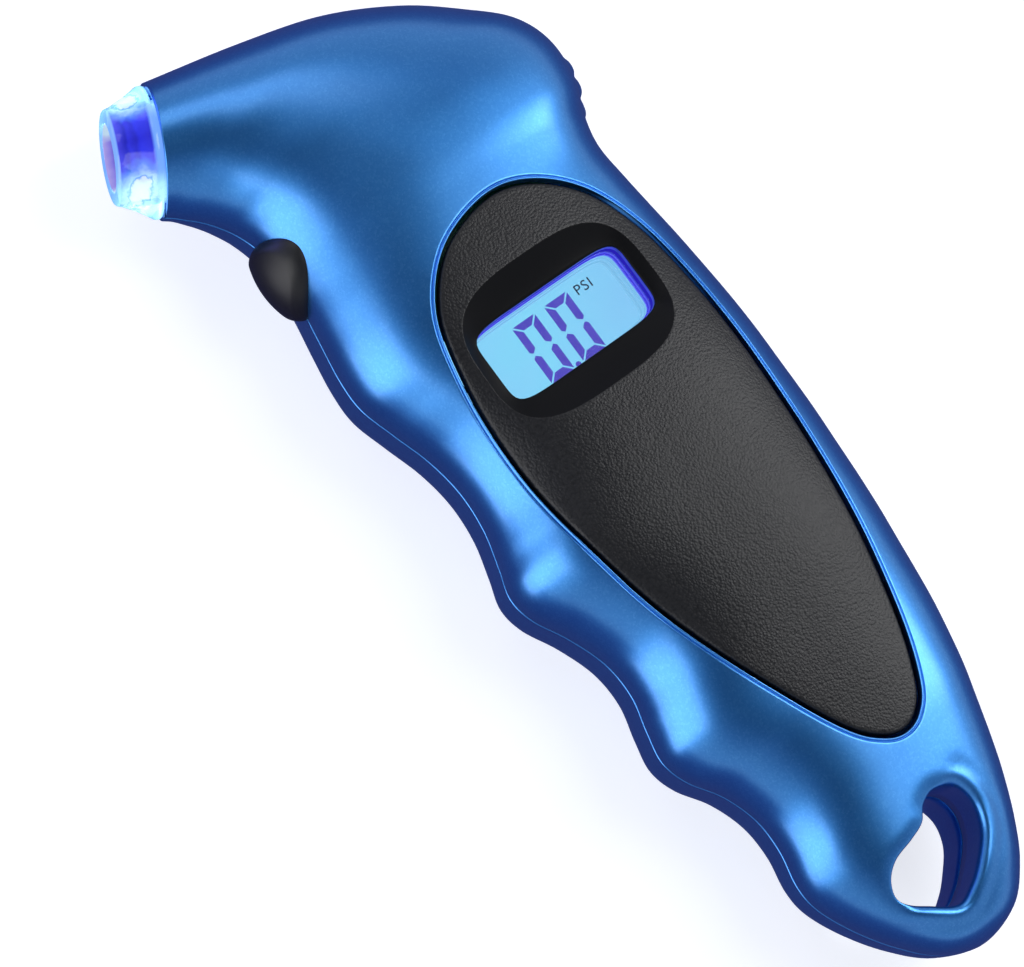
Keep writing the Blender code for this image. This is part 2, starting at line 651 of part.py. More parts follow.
# ---- face panel and display ------------------------------------------------------------------
DISPLAY = plan(DISPLAY_CENTRE)
WELL_MARGIN = 0.5 * MM
WELL_EASE = 0.3 * MM          # more room round the well in the shell
SCOOP_FLOOR = CROWN_HEIGHT - SCOOP_DEPTH - PANEL_RECESS
WELL_BOTTOM = SCOOP_FLOOR - 2.3 * MM
LENS_LIP = 1.0 * MM
LENS_THICK = 1.0 * MM
LENS_MARGIN = 1.0 * MM


def well_outline(grow):
    """Outside of the well moulded behind the panel around the window."""
    return superellipse(DISPLAY, SCOOP_WIDTH + 2 * (WELL_MARGIN + grow),
                        SCOOP_HEIGHT + 2 * (WELL_MARGIN + grow), SCOOP_POWER, 40)


def make_face_panel():
    """Curved insert: casing surface less the recess, with the scoop and the window cut in."""
    outline = grown(closed_curve(PANEL_OUTLINE, 2), -FIT)
    panel = prism("face_panel_body", outline, 2 * MM, 2 * CROWN_HEIGHT)
    skin = half_solid("panel_skin", True, PANEL_RECESS, PANEL_RECESS, 1, sink=2 * MM)
    combine(panel, "INTERSECT", [skin], SHELL_SOLVER)
    drop = PANEL_RECESS + PANEL_THICK
    under = half_solid("panel_under", True, SEAT_INSET - FIT, drop, 1, sink=2 * MM)
    well = prism("well_block", well_outline(0), WELL_BOTTOM, 2 * CROWN_HEIGHT)
    combine(under, "DIFFERENCE", [well], SHELL_SOLVER)
    floor = box("well_floor", (-PLAN_WIDTH, -PLAN_LENGTH, -4 * MM),
                (PLAN_WIDTH, PLAN_LENGTH, WELL_BOTTOM))
    combine(panel, "DIFFERENCE", [under, floor], SHELL_SOLVER)
    rim_height = CROWN_HEIGHT + 1.2 * MM
    spread = 1.0 + (rim_height - CROWN_HEIGHT) / SCOOP_DEPTH * 0.35
    rings = []
    for z, width, height, power in (
            (SCOOP_FLOOR, WINDOW_WIDTH, WINDOW_HEIGHT, WINDOW_POWER),
            (rim_height, SCOOP_WIDTH * spread, SCOOP_HEIGHT * spread, SCOOP_POWER)):
        flat = superellipse(DISPLAY, width, height, power, 40)
        rings.append(np.column_stack([flat, np.full(40, z)]))
    scoop = loft("scoop", rings)
    opening = superellipse(DISPLAY, WINDOW_WIDTH, WINDOW_HEIGHT, WINDOW_POWER, 40)
    window = prism("window", opening, 0, 2 * CROWN_HEIGHT)
    seat = prism("lens_seat", lens_outline(FIT), 0, SCOOP_FLOOR - LENS_LIP)
    combine(panel, "DIFFERENCE", [scoop, window, seat], SHELL_SOLVER)
    return release(panel, "face_panel", BLACK_PANEL)


def lens_outline(grow):
    return superellipse(DISPLAY, WINDOW_WIDTH + 2 * (LENS_MARGIN + grow),
                        WINDOW_HEIGHT + 2 * (LENS_MARGIN + grow), WINDOW_POWER, 28)


LENS_TOP = SCOOP_FLOOR - LENS_LIP - FIT
LCD_THICK = 2.0 * MM
BACKLIGHT_THICK = 3.2 * MM
BOARD_TOP = -0.8 * MM
BACKLIGHT_LOW = BOARD_TOP + FIT
LCD_LOW = BACKLIGHT_LOW + BACKLIGHT_THICK + FIT
SHROUD_LOW = LCD_LOW + LCD_THICK + FIT
ZEBRA_WIDTH = 2.0 * MM
LED_WIDTH = 1.6 * MM
LED_HIGH = 1.5 * MM
CHIP_RADIUS = 5.0 * MM
CHIP_THICK = 1.4 * MM


def make_display():
    prism("display_lens", lens_outline(0), LENS_TOP - LENS_THICK, LENS_TOP, CLEAR, False)
    shroud = prism("shroud_body", lens_outline(0), SHROUD_LOW, LENS_TOP - LENS_THICK - FIT)
    bore = prism("shroud_bore", lens_outline(-LENS_MARGIN), 0, 2 * CROWN_HEIGHT)
    combine(shroud, "DIFFERENCE", [bore])
    release(shroud, "display_shroud", WHITE)
    x, y = DISPLAY
    w = LCD_WIDTH / 2
    h = LCD_HEIGHT / 2
    box("lcd_glass", (x - w, y - h, LCD_LOW), (x + w, y + h, LCD_LOW + LCD_THICK), LCD, False)
    for i, side in enumerate((-1, 1), 1):
        edge = y + side * h
        near = edge - side * ZEBRA_WIDTH
        box(f"zebra_strip_{i}", (x - w, min(edge, near), BACKLIGHT_LOW),
            (x + w, max(edge, near), LCD_LOW - FIT), SILICONE, False)
    inner = h - ZEBRA_WIDTH - FIT
    box("backlight_block", (x - w + LED_WIDTH + FIT, y - inner, BACKLIGHT_LOW),
        (x + w, y + inner, LCD_LOW - FIT), WHITE, False)
    box("backlight_led", (x - w, y - LED_WIDTH / 2, BACKLIGHT_LOW),
        (x - w + LED_WIDTH, y + LED_WIDTH / 2, BACKLIGHT_LOW + LED_HIGH), WHITE, False)


def make_board():
    board = prism("main_board_body", plan_points(BOARD_OUTLINE), BOARD_TOP - BOARD_THICK,
                  BOARD_TOP)
    holes = [cylinder(f"board_hole_{i}", SMALL_SCREW_RADIUS + FIT, -5 * MM, 5 * MM, plan(p), 12)
             for i, p in enumerate(BOARD_SCREWS)]
    combine(board, "DIFFERENCE", holes)
    release(board, "main_board", BOARD)
    high = BOARD_TOP - BOARD_THICK - FIT
    cylinder("controller_chip", CHIP_RADIUS, high - CHIP_THICK, high, plan(CHIP_PLACE), 20,
             EPOXY, False)


# ---- button and switch -----------------------------------------------------------------------
PLUNGER_RADIUS = 1.5 * MM
PLUNGER_LENGTH = 2.9 * MM
PLUNGER_OUT = 2.0 * MM        # of the plunger, in front of the switch's case
SWITCH_HIGH = 2.0 * MM        # plunger's height over the seam plane
SWITCH_HALF = 3.0 * MM
SWITCH_DEPTH = 3.6 * MM
DOME_RADII = (10.6 * MM, 12.0 * MM, 10.5 * MM)
FLANGE_THICK = 1.0 * MM


def make_button():
    """Domed egg: its outline pushed along X, rounded by a stretched sphere, with a flange."""
    back = crook_x(BUTTON_BACK)
    body = button_prism("power_button_body", 0, crook_x(-45 * MM), back)
    bm = bmesh.new()
    bmesh.ops.create_uvsphere(bm, u_segments=28, v_segments=18, radius=1)
    bmesh.ops.scale(bm, vec=DOME_RADII, verts=bm.verts)
    x, y = DOME_PLACE
    bmesh.ops.translate(bm, vec=(crook_x(x * MM), plan((0, y))[1], 0), verts=bm.verts)
    mesh = bpy.data.meshes.new("dome")
    bm.to_mesh(mesh)
    bm.free()
    combine(body, "INTERSECT", [finish(mesh, "dome", None, True)])
    flange = button_prism("button_flange", BUTTON_FLANGE, back - FLANGE_THICK, back)
    combine(body, "UNION", [flange])
    return release(body, "power_button", BLACK_RUBBER)


def along_x(x, y, z):
    """Places a turned piece with its Z along +X."""
    return Matrix.Translation((x, y, z)) @ Matrix.Rotation(math.pi / 2, 4, "Y")


def make_switch():
    y = plan((0, SWITCH_PLACE))[1]
    tip = crook_x(BUTTON_BACK) + FIT
    r = PLUNGER_RADIUS
    turned("switch_plunger", [(0, PLUNGER_LENGTH), (r, PLUNGER_LENGTH), (r, 0), (0, 0)],
           BRASS, matrix=along_x(tip, y, SWITCH_HIGH), sides=16)
    face = tip + PLUNGER_OUT
    body = box("switch_case", (face, y - SWITCH_HALF, BACKLIGHT_LOW),
               (face + SWITCH_DEPTH, y + SWITCH_HALF, SWITCH_HIGH + 2.6 * MM))
    depth = PLUNGER_LENGTH - PLUNGER_OUT + BUTTON_TRAVEL + FIT
    r += FIT
    bore = turned("switch_bore", [(0, depth), (r, depth), (r, -1 * MM), (0, -1 * MM)],
                  cutter=True, matrix=along_x(face, y, SWITCH_HIGH), sides=16)
    combine(body, "DIFFERENCE", [bore])
    release(body, "switch_body", EPOXY)


# ---- chuck and pressure path -----------------------------------------------------------------
COLLAR_RADIUS = CHUCK_RADIUS - WALL - FIT
COLLAR_LENGTH = 9.0 * MM
SPIGOT_RADIUS = 3.3 * MM
SPIGOT_BORE = 1.2 * MM
SEAL_BORE = 2.2 * MM
SEAL_THICK = 2.6 * MM
PIN_RADIUS = 0.9 * MM
PIN_OUT = 1.2 * MM
RING_OUT = -13.8 * MM         # middle of the O-ring round the spigot
RING_THICK = 1.0 * MM
SPIGOT_END = -15.5 * MM
SEAT_OUT = CHUCK_LENGTH - SOCKET_DEPTH
LED_RADIUS = 1.25 * MM
LED_ACROSS = (COLLAR_RADIUS + 2.8 * MM) / 2
HOUSING_RADIUS = 6.2 * MM
HOUSING_WALL = 1.25 * MM
HOUSING_FLOOR = 1.6 * MM
HOUSING_HOLE = 1.0 * MM
HOUSING_FRONT = -11.5 * MM
HOUSING_BACK = -22.0 * MM
CLAMP_OUT = -16.5 * MM
CLAMP_ACROSS = 9.3 * MM
CLAMP_SEAT = -0.6 * MM
CLAMP_THICK = 1.2 * MM
CLAMP_HALF = 2.2 * MM         # half of the strap's width along the chuck


def clamp_screw_places():
    return [chuck_point(CLAMP_OUT, side * CLAMP_ACROSS)[:2] for side in (-1, 1)]


def make_chuck():
    on_axis = chuck_matrix()
    tip = CHUCK_TIP_RADIUS
    profile = [
        (SOCKET_RADIUS + 0.5 * MM, CHUCK_LENGTH), (tip - 0.5 * MM, CHUCK_LENGTH),
        (tip, CHUCK_LENGTH - 0.4 * MM), (CHUCK_RADIUS - FIT, 0.9 * MM),
        (CHUCK_RADIUS - FIT, FIT), (COLLAR_RADIUS, FIT), (COLLAR_RADIUS, -COLLAR_LENGTH),
        (SPIGOT_RADIUS, -COLLAR_LENGTH), (SPIGOT_RADIUS, SPIGOT_END),
        (SPIGOT_BORE, SPIGOT_END), (SPIGOT_BORE, SEAT_OUT), (SOCKET_RADIUS, SEAT_OUT),
        (SOCKET_RADIUS, CHUCK_LENGTH - 0.5 * MM),
    ]
    chuck = turned("nozzle_blank", profile, cutter=True, ring=True, matrix=on_axis, sides=36)
    pockets = []
    for side in (-1, 1):
        shift = on_axis @ Matrix.Translation((side * LED_ACROSS, 0, 0))
        r = LED_RADIUS + FIT
        low = -COLLAR_LENGTH - 1 * MM
        pockets.append(turned(f"led_pocket_{side}", [(0, -4.7 * MM), (r, -4.7 * MM), (r, low),
                                                     (0, low)], cutter=True, matrix=shift,
                              sides=12))
    combine(chuck, "DIFFERENCE", pockets)
    release(chuck, "nozzle_body", CLEAR)
    low = SEAT_OUT + FIT
    high = low + SEAL_THICK
    r = SOCKET_RADIUS - FIT
    turned("nozzle_seal", [(SEAL_BORE, high), (r, high), (r, low), (SEAL_BORE, low)],
           BLACK_RUBBER, ring=True, matrix=on_axis, sides=24)
    pin = [(0, PIN_OUT), (PIN_RADIUS * 2 / 3, PIN_OUT), (PIN_RADIUS, PIN_OUT - 0.4 * MM),
           (PIN_RADIUS, -COLLAR_LENGTH), (0, -COLLAR_LENGTH)]
    turned("depressor_pin", pin, BRASS, matrix=on_axis, sides=12)
    for i, side in enumerate((-1, 1), 1):
        shift = on_axis @ Matrix.Translation((side * LED_ACROSS, 0, 0))
        r = LED_RADIUS
        back = -COLLAR_LENGTH + 0.1 * MM
        turned(f"nozzle_led_{i}", [(0, -5.1 * MM), (0.7 * MM, -5.3 * MM), (r, -5.9 * MM),
                                   (r, back), (0, back)], CLEAR, matrix=shift, sides=12)


def make_sensor():
    on_axis = chuck_matrix()
    r = RING_THICK / 2
    ring = [(SPIGOT_RADIUS + 0.35 * MM + r + r * math.cos(a), RING_OUT - r * math.sin(a))
            for a in np.linspace(0, 2 * math.pi, 8, endpoint=False)]
    turned("sensor_oring", ring, BLACK_RUBBER, ring=True, matrix=on_axis, sides=20)
    bore = HOUSING_RADIUS - HOUSING_WALL
    front_floor = SPIGOT_END - 0.5 * MM
    back_floor = front_floor - HOUSING_FLOOR
    profile = [
        (bore, HOUSING_FRONT), (HOUSING_RADIUS, HOUSING_FRONT), (HOUSING_RADIUS, HOUSING_BACK),
        (bore, HOUSING_BACK), (bore, back_floor), (HOUSING_HOLE, back_floor),
        (HOUSING_HOLE, front_floor), (bore, front_floor),
    ]
    turned("sensor_housing", profile, EPOXY, ring=True, matrix=on_axis, sides=24)
    r = bore - FIT
    high = back_floor - FIT
    low = HOUSING_BACK + FIT
    turned("pressure_sensor", [(0, high), (r, high), (r, low), (0, low)], STEEL,
           matrix=on_axis, sides=20)
    make_clamp()


def make_clamp():
    """Strap over the sensor housing: a bent strip, thickened with Solidify."""
    radius = HOUSING_RADIUS + FIT
    seat = CLAMP_SEAT
    reach = CLAMP_ACROSS + 2.0 * MM
    bend = [(-reach, seat)]
    start = math.asin(-seat / radius)
    for a in np.linspace(start, math.pi - start, 13):
        bend.append((-radius * math.cos(a), -radius * math.sin(a)))
    bend.append((reach, seat))
    points = []
    for out in (CLAMP_OUT - CLAMP_HALF, CLAMP_OUT + CLAMP_HALF):
        for across, high in bend:
            points.append(chuck_point(out, across, high))
    count = len(bend)
    faces = [(i, i + 1, count + i + 1, count + i) for i in range(count - 1)]
    mesh = bpy.data.meshes.new("clamp_strip")
    mesh.from_pydata([tuple(p) for p in points], [], faces)
    strap = finish(mesh, "clamp_strip", None, True)
    thick = strap.modifiers.new("thickness", "SOLIDIFY")
    thick.thickness = CLAMP_THICK
    thick.offset = -1.0
    bake(strap)
    holes = [cylinder(f"clamp_hole_{i}", SMALL_SCREW_RADIUS + FIT, -4 * MM, 2 * MM, p, 12)
             for i, p in enumerate(clamp_screw_places())]
    combine(strap, "DIFFERENCE", holes)
    release(strap, "sensor_clamp", STEEL)


# ---- leads -------------------------------------------------------------------------------------
def lead(name, route, radius, mat):
    """A thin lead along its route: a smooth POLY curve with round caps."""
    rows = np.array(route)
    path = catmull_rom(rows, 2 * rows[0] - rows[1], 2 * rows[-1] - rows[-2], 4)
    curve = bpy.data.curves.new(name, "CURVE")
    curve.dimensions = "3D"
    curve.bevel_depth = radius
    curve.bevel_resolution = 1
    curve.use_fill_caps = True
    spline = curve.splines.new("POLY")
    spline.points.add(len(path) - 1)
    for point, (x, y, z) in zip(spline.points, path):
        point.co = (x, y, z, 1)
    made = bpy.data.objects.new(name, curve)
    curve.materials.append(mat)
    PARTS.objects.link(made)


def make_leads():
    board_y = plan((0, 50.5))[1]
    board_z = BOARD_TOP + 0.9 * MM
    lead_radius = 0.4 * MM
    for i, (side, drawn_x) in enumerate(((-1, -15.0), (1, -7.0)), 1):
        start = chuck_point(-COLLAR_LENGTH - 0.6 * MM, side * LED_ACROSS)
        turn = chuck_point(-COLLAR_LENGTH - 1.6 * MM, side * LED_ACROSS, 5.2 * MM)
        past = chuck_point(CLAMP_OUT, side * HOUSING_RADIUS * 0.7, HOUSING_RADIUS * 0.95)
        behind = chuck_point(HOUSING_BACK - 1 * MM, side * HOUSING_RADIUS * 0.7, 5.2 * MM)
        end_x = plan((drawn_x, 0))[0]
        over = (end_x, board_y + 2.5 * MM, 1.4 * MM)
        end = (end_x, board_y - 1.5 * MM, board_z)
        lead(f"led_lead_{i}", [start, turn, past, behind, over, end], lead_radius, WHITE)
    start = chuck_point(HOUSING_BACK - 0.3 * MM, 0)
    middle = chuck_point(HOUSING_BACK - 2.5 * MM, 0, 0.2 * MM)
    end_x = plan((-11.0, 0))[0]
    over = (end_x, board_y + 2.5 * MM, 1.0 * MM)
    end = (end_x, board_y - 1.5 * MM, board_z)
    lead("sensor_ribbon", [start, middle, over, end], lead_radius, SILICONE)


# ---- batteries ---------------------------------------------------------------------------------
TRAY_WALL = 1.2 * MM
TRAY_RAISE = 0.8 * MM         # keeps the tray's lower edges off the rounded shell
TRAY_LOW = -(INNER_BACK - FIT - TRAY_RAISE)
TRAY_ROOF = 1.2 * MM
CELL_LOW = TRAY_LOW + FIT
CONTACT_THICK = 0.3 * MM
CONTACT_RADIUS = 4.0 * MM
BUS_RADIUS = 9.0 * MM
CELL_ROOF = CELL_LOW + CELL_THICK + CONTACT_THICK + 2 * FIT
COIN_ROOF = CELL_LOW + COIN_THICK + CONTACT_THICK + 2 * FIT
TRAY_TOP = CELL_ROOF + TRAY_ROOF


def bay_outline(grow):
    """Rounded outline around the coin cell and the three button cells."""
    coin = plan(COIN_PLACE)
    left, right, low = (plan(p) for p in CELL_PLACES)
    reach = TRAY_WALL + FIT + grow
    x_low = min(left[0] - CELL_RADIUS, coin[0] - COIN_RADIUS) - reach
    x_high = max(right[0] + CELL_RADIUS, coin[0] + COIN_RADIUS) + reach
    y_low = low[1] - CELL_RADIUS - reach
    y_high = coin[1] + COIN_RADIUS + reach
    centre = ((x_low + x_high) / 2, (y_low + y_high) / 2)
    return superellipse(centre, x_high - x_low, y_high - y_low, 9.0, 32)


def make_batteries():
    tray = prism("tray_body", bay_outline(0), TRAY_LOW, TRAY_TOP)
    pockets = [cylinder("coin_pocket", COIN_RADIUS + FIT, -2 * BACK_DEPTH, COIN_ROOF,
                        plan(COIN_PLACE), 36)]
    for i, place in enumerate(CELL_PLACES):
        pockets.append(cylinder(f"cell_pocket_{i}", CELL_RADIUS + FIT, -2 * BACK_DEPTH, CELL_ROOF,
                                plan(place), 24))
    middle = np.mean([plan(p) for p in CELL_PLACES], axis=0)
    pockets.append(cylinder("bus_pocket", BUS_RADIUS + 2 * FIT, CELL_ROOF - CONTACT_THICK - 2 * FIT,
                            CELL_ROOF, middle, 20))
    combine(tray, "DIFFERENCE", pockets)
    release(tray, "battery_tray", WHITE)
    cylinder("coin_cell", COIN_RADIUS, CELL_LOW, CELL_LOW + COIN_THICK, plan(COIN_PLACE), 36,
             STEEL, False)
    contact = CELL_LOW + COIN_THICK + FIT
    cylinder("coin_contact", CONTACT_RADIUS, contact, contact + CONTACT_THICK, plan(COIN_PLACE), 16,
             BRASS, False)
    for i, place in enumerate(CELL_PLACES, 1):
        cylinder(f"button_cell_{i}", CELL_RADIUS, CELL_LOW, CELL_LOW + CELL_THICK, plan(place),
                 24, STEEL, False)
    plate = CELL_LOW + CELL_THICK + FIT
    cylinder("cell_bus_plate", BUS_RADIUS, plate, plate + CONTACT_THICK, middle, 20, BRASS,
             False)


def make_battery_cover():
    outline = grown(closed_curve(COVER_OUTLINE, 2), -FIT)
    cover = prism("battery_cover_body", outline, -SEAM_HEIGHT, -COVER_POCKET - FIT)
    place = plan(COVER_SCREW)
    low = -2 * BACK_DEPTH
    way = cylinder("cover_way", SMALL_SCREW_RADIUS + FIT, low, 0, place, 12)
    sink = cylinder("cover_sink", COVER_HEAD_RADIUS + FIT, low, -SEAM_HEIGHT + COVER_SINK,
                    place, 16)
    combine(cover, "DIFFERENCE", [way, sink])
    release(cover, "battery_cover", BLACK_PANEL)


# ---- screws ------------------------------------------------------------------------------------
def screw(name, place, head_face, radius, head_radius, head_thick, length):
    """A screw from the back: pan head under head_face, shank above it, pointed tip."""
    profile = [
        (0, length), (radius * 0.4, length), (radius, length - radius),
        (radius, 0), (head_radius, 0), (head_radius, -head_thick * 0.7),
        (head_radius * 0.7, -head_thick), (0, -head_thick),
    ]
    where = Matrix.Translation((place[0], place[1], head_face))
    turned(name, profile, STEEL, matrix=where, sides=14)


def make_screws():
    for i, place in enumerate(SHELL_SCREWS, 1):
        screw(f"shell_screw_{i}", plan(place), SCREW_SEAT, SCREW_RADIUS, SCREW_HEAD_RADIUS,
              SCREW_HEAD_THICK, SCREW_LENGTH)
    board_face = BOARD_TOP - BOARD_THICK - FIT
    for i, place in enumerate(BOARD_SCREWS, 1):
        screw(f"board_screw_{i}", plan(place), board_face, SMALL_SCREW_RADIUS,
              SMALL_HEAD_RADIUS, SMALL_HEAD_THICK, BOARD_SCREW_LENGTH)
    clamp_face = CLAMP_SEAT - CLAMP_THICK - FIT
    for i, place in enumerate(clamp_screw_places(), 1):
        screw(f"clamp_screw_{i}", place, clamp_face, SMALL_SCREW_RADIUS, SMALL_HEAD_RADIUS,
              SMALL_HEAD_THICK, CLAMP_SCREW_LENGTH)
    cover_face = -SEAM_HEIGHT + COVER_SINK - FIT
    screw("cover_screw", plan(COVER_SCREW), cover_face, SMALL_SCREW_RADIUS, COVER_HEAD_RADIUS,
          COVER_HEAD_THICK, COVER_SCREW_LENGTH)


# ---- assembly ----------------------------------------------------------------------------------
def world_box(piece):
    """Low and high corner of a piece's evaluated mesh."""
    shaped = piece.evaluated_get(bpy.context.evaluated_depsgraph_get())
    mesh = shaped.to_mesh()
    points = np.array([shaped.matrix_world @ v.co for v in mesh.vertices])
    shaped.to_mesh_clear()
    return points.min(axis=0), points.max(axis=0)


def stand_on_origin():
    """Puts every piece under one empty, with the box's bottom centre at the world origin."""
    bpy.context.view_layer.update()
    low, high = zip(*(world_box(piece) for piece in PARTS.objects))
    low = np.min(low, axis=0)
    high = np.max(high, axis=0)
    frame = bpy.data.objects.new("gauge_frame", None)
    bpy.context.scene.collection.objects.link(frame)
    frame.location = (-(low[0] + high[0]) / 2, -(low[1] + high[1]) / 2, -low[2])
    for piece in PARTS.objects:
        piece.parent = frame


def centre_origin(name):
    """Moves a sliding piece's origin to the middle of its own box, on its slide axis."""
    piece = bpy.data.objects[name]
    low, high = world_box(piece)
    middle = Vector((low + high) / 2)
    piece.data.transform(Matrix.Translation(-middle))
    piece.location = middle


make_front_shell()
make_rear_shell()
make_face_panel()
make_display()
make_board()
make_button()
make_switch()
make_chuck()
make_sensor()
make_leads()
make_batteries()
make_battery_cover()
make_screws()
centre_origin("power_button")
centre_origin("switch_plunger")
stand_on_origin()
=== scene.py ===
"""Looks of the tire pressure gauge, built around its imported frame.

The gauge lies on its back: +Y runs from the lanyard end to the head, +Z from the back to the
face, and the chuck points to -X and 25.5 degrees towards +Y. Drawn plan points are in mm.
"""
import json
import math

import bmesh
import bpy
import numpy as np
from mathutils import Matrix, Vector
from mathutils.geometry import delaunay_2d_cdt


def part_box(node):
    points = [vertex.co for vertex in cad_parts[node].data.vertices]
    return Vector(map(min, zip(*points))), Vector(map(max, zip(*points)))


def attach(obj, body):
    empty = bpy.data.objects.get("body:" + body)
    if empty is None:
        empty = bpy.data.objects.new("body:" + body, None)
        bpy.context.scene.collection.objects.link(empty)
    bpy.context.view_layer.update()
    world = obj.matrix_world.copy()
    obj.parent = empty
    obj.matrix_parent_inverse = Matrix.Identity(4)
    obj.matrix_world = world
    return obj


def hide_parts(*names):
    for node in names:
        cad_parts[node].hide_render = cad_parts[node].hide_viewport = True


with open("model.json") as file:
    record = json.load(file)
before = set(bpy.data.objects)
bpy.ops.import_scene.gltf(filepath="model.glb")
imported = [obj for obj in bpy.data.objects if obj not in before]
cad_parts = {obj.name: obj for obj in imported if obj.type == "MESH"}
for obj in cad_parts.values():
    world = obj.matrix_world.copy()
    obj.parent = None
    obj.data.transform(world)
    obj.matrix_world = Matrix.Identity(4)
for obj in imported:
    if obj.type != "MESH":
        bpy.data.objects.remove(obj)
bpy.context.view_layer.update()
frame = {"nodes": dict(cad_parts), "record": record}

# ---- casing halves -----------------------------------------------------------------------
# The pistol-grip casing is two ABS halves moulded with 1.8 mm walls and lacquered in a
# metallic blue. Five screws from the back hold them. Each half is a skin of superelliptic
# arches over a row of ribs, with its openings cut along their own outlines.
MM = 0.001
SEAM_GAP = 0.3
WALL = 1.8
CHUCK_ANGLE = math.radians(25.5)
CHUCK_AXIS = np.array([-math.cos(CHUCK_ANGLE), math.sin(CHUCK_ANGLE)])
CHUCK_ACROSS = np.array([math.sin(CHUCK_ANGLE), math.cos(CHUCK_ANGLE)])
CHUCK_CENTRE = np.array([-33.6, 71.95])
CASING_END_RADIUS = 9.7
SQUARENESS = {1: 2.6, -1: 4.5}       # arch exponent of the face side and of the back
DISPLAY_CENTRE = np.array([-3.7, 18.1])

# left x, y, right x, y, crown, depth, squareness of each rib, from the lanyard end up
RIBS = [
    (-4.5, -85.6, -4.5, -85.6, 0.0, 0.0, 1.0), (-10.6, -83.2, 2.0, -83.7, 5.8, 6.0, 1.0),
    (-15.2, -78.5, 6.4, -79.2, 8.6, 8.9, 1.0), (-18.8, -73.0, 9.4, -74.0, 10.2, 10.6, 1.0),
    (-21.1, -67.7, 11.9, -68.3, 11.0, 11.6, 1.0), (-21.4, -63.5, 13.6, -63.5, 11.4, 12.3, 1.0),
    (-20.4, -58.3, 15.3, -57.8, 11.9, 13.2, 1.0), (-20.5, -53.0, 16.8, -52.6, 12.4, 14.2, 1.0),
    (-22.3, -47.7, 17.9, -47.6, 12.8, 15.0, 1.0), (-25.3, -43.0, 18.8, -42.8, 13.2, 15.5, 1.0),
    (-26.5, -38.8, 19.4, -38.0, 13.6, 15.5, 1.0), (-25.7, -34.2, 19.9, -33.0, 14.0, 15.5, 1.0),
    (-24.4, -28.8, 20.4, -28.0, 14.4, 15.5, 1.0), (-24.7, -23.2, 20.8, -22.5, 14.7, 15.5, 1.0),
    (-26.8, -17.4, 21.1, -17.0, 15.0, 15.5, 1.0), (-29.5, -12.2, 21.4, -11.8, 15.2, 15.5, 1.0),
    (-30.2, -8.0, 21.5, -7.5, 15.3, 15.5, 1.0), (-28.9, -3.6, 21.5, -3.0, 15.4, 15.5, 1.0),
    (-27.4, 2.0, 21.5, 2.5, 15.5, 15.5, 1.0), (-27.0, 8.0, 21.3, 8.3, 15.5, 15.5, 1.0),
    (-27.9, 14.0, 20.9, 14.0, 15.5, 15.5, 1.0), (-29.8, 20.0, 20.4, 20.0, 15.5, 15.5, 1.0),
    (-31.4, 25.5, 19.8, 25.5, 15.5, 15.5, 1.0), (-31.4, 30.5, 19.2, 31.0, 15.5, 15.5, 1.0),
    (-30.5, 36.5, 18.8, 36.5, 15.4, 15.5, 1.0), (-29.6, 42.3, 19.9, 41.3, 15.3, 15.2, 0.95),
    (-29.3, 47.5, 22.2, 46.5, 15.2, 14.8, 0.85), (-29.7, 52.0, 22.7, 53.0, 14.9, 14.2, 0.75),
    (-31.0, 55.6, 20.6, 58.6, 14.4, 13.6, 0.6), (-32.6, 58.2, 15.5, 63.6, 13.8, 13.0, 0.45),
    (-34.1, 60.0, 8.0, 69.4, 13.0, 12.4, 0.3), (-35.6, 61.4, -2.5, 74.6, 12.0, 11.6, 0.15),
    (-36.8, 62.5, -15.0, 77.9, 10.8, 10.6, 0.05),
    (*(CHUCK_CENTRE - CASING_END_RADIUS * CHUCK_ACROSS),
     *(CHUCK_CENTRE + CASING_END_RADIUS * CHUCK_ACROSS),
     CASING_END_RADIUS, CASING_END_RADIUS, 0.0),
]
PANEL_OUTLINE = [
    (-3.6, 38.5), (3.4, 37.0), (9.8, 31.6), (13.7, 23.5), (15.4, 13.0), (15.9, 0.0),
    (15.2, -14.0), (13.2, -29.0), (10.2, -41.8), (6.8, -50.4), (3.9, -53.9), (0.8, -54.9),
    (-2.3, -53.7), (-5.6, -50.2), (-9.7, -42.4), (-14.4, -31.2), (-18.7, -17.0),
    (-21.1, -4.0), (-21.6, 8.0), (-20.9, 19.5), (-18.4, 29.0), (-12.3, 35.7),
]
LANYARD_OUTLINE = [
    (-0.4, -63.7), (2.6, -65.3), (3.5, -68.5), (2.4, -72.0), (-0.2, -74.9), (-3.2, -77.3),
    (-6.3, -78.5), (-9.9, -76.3), (-13.2, -73.4), (-12.9, -70.5), (-10.7, -68.4),
    (-7.2, -67.4), (-4.6, -66.4), (-2.9, -64.5),
]
COVER_OUTLINE = [
    (-3.2, 21.5), (7.0, 20.0), (11.6, 12.0), (12.4, 0.0), (11.6, -16.0), (8.0, -31.0),
    (2.6, -41.0), (-3.2, -43.0), (-9.4, -41.0), (-14.6, -31.0), (-17.8, -16.0),
    (-18.6, 0.0), (-17.8, 12.0), (-13.2, 20.0),
]
BUTTON_CENTRE = np.array([46.8, 0.0])       # y and height
BUTTON_OUTLINE = [
    (40.2, 0.0), (41.2, 2.9), (43.0, 5.7), (45.4, 7.7), (48.2, 8.3), (50.6, 7.2),
    (52.1, 4.4), (52.6, 0.0), (52.1, -4.4), (50.6, -7.2), (48.2, -8.3), (45.4, -7.7),
    (43.0, -5.7), (41.2, -2.9),
]
BEAD_START = np.array([-0.4, -63.7])        # the lanyard hole has its bead past this point
BEAD_SIDE = np.array([0.6, -0.8])           # on this side
BEAD_RADIUS = 1.9
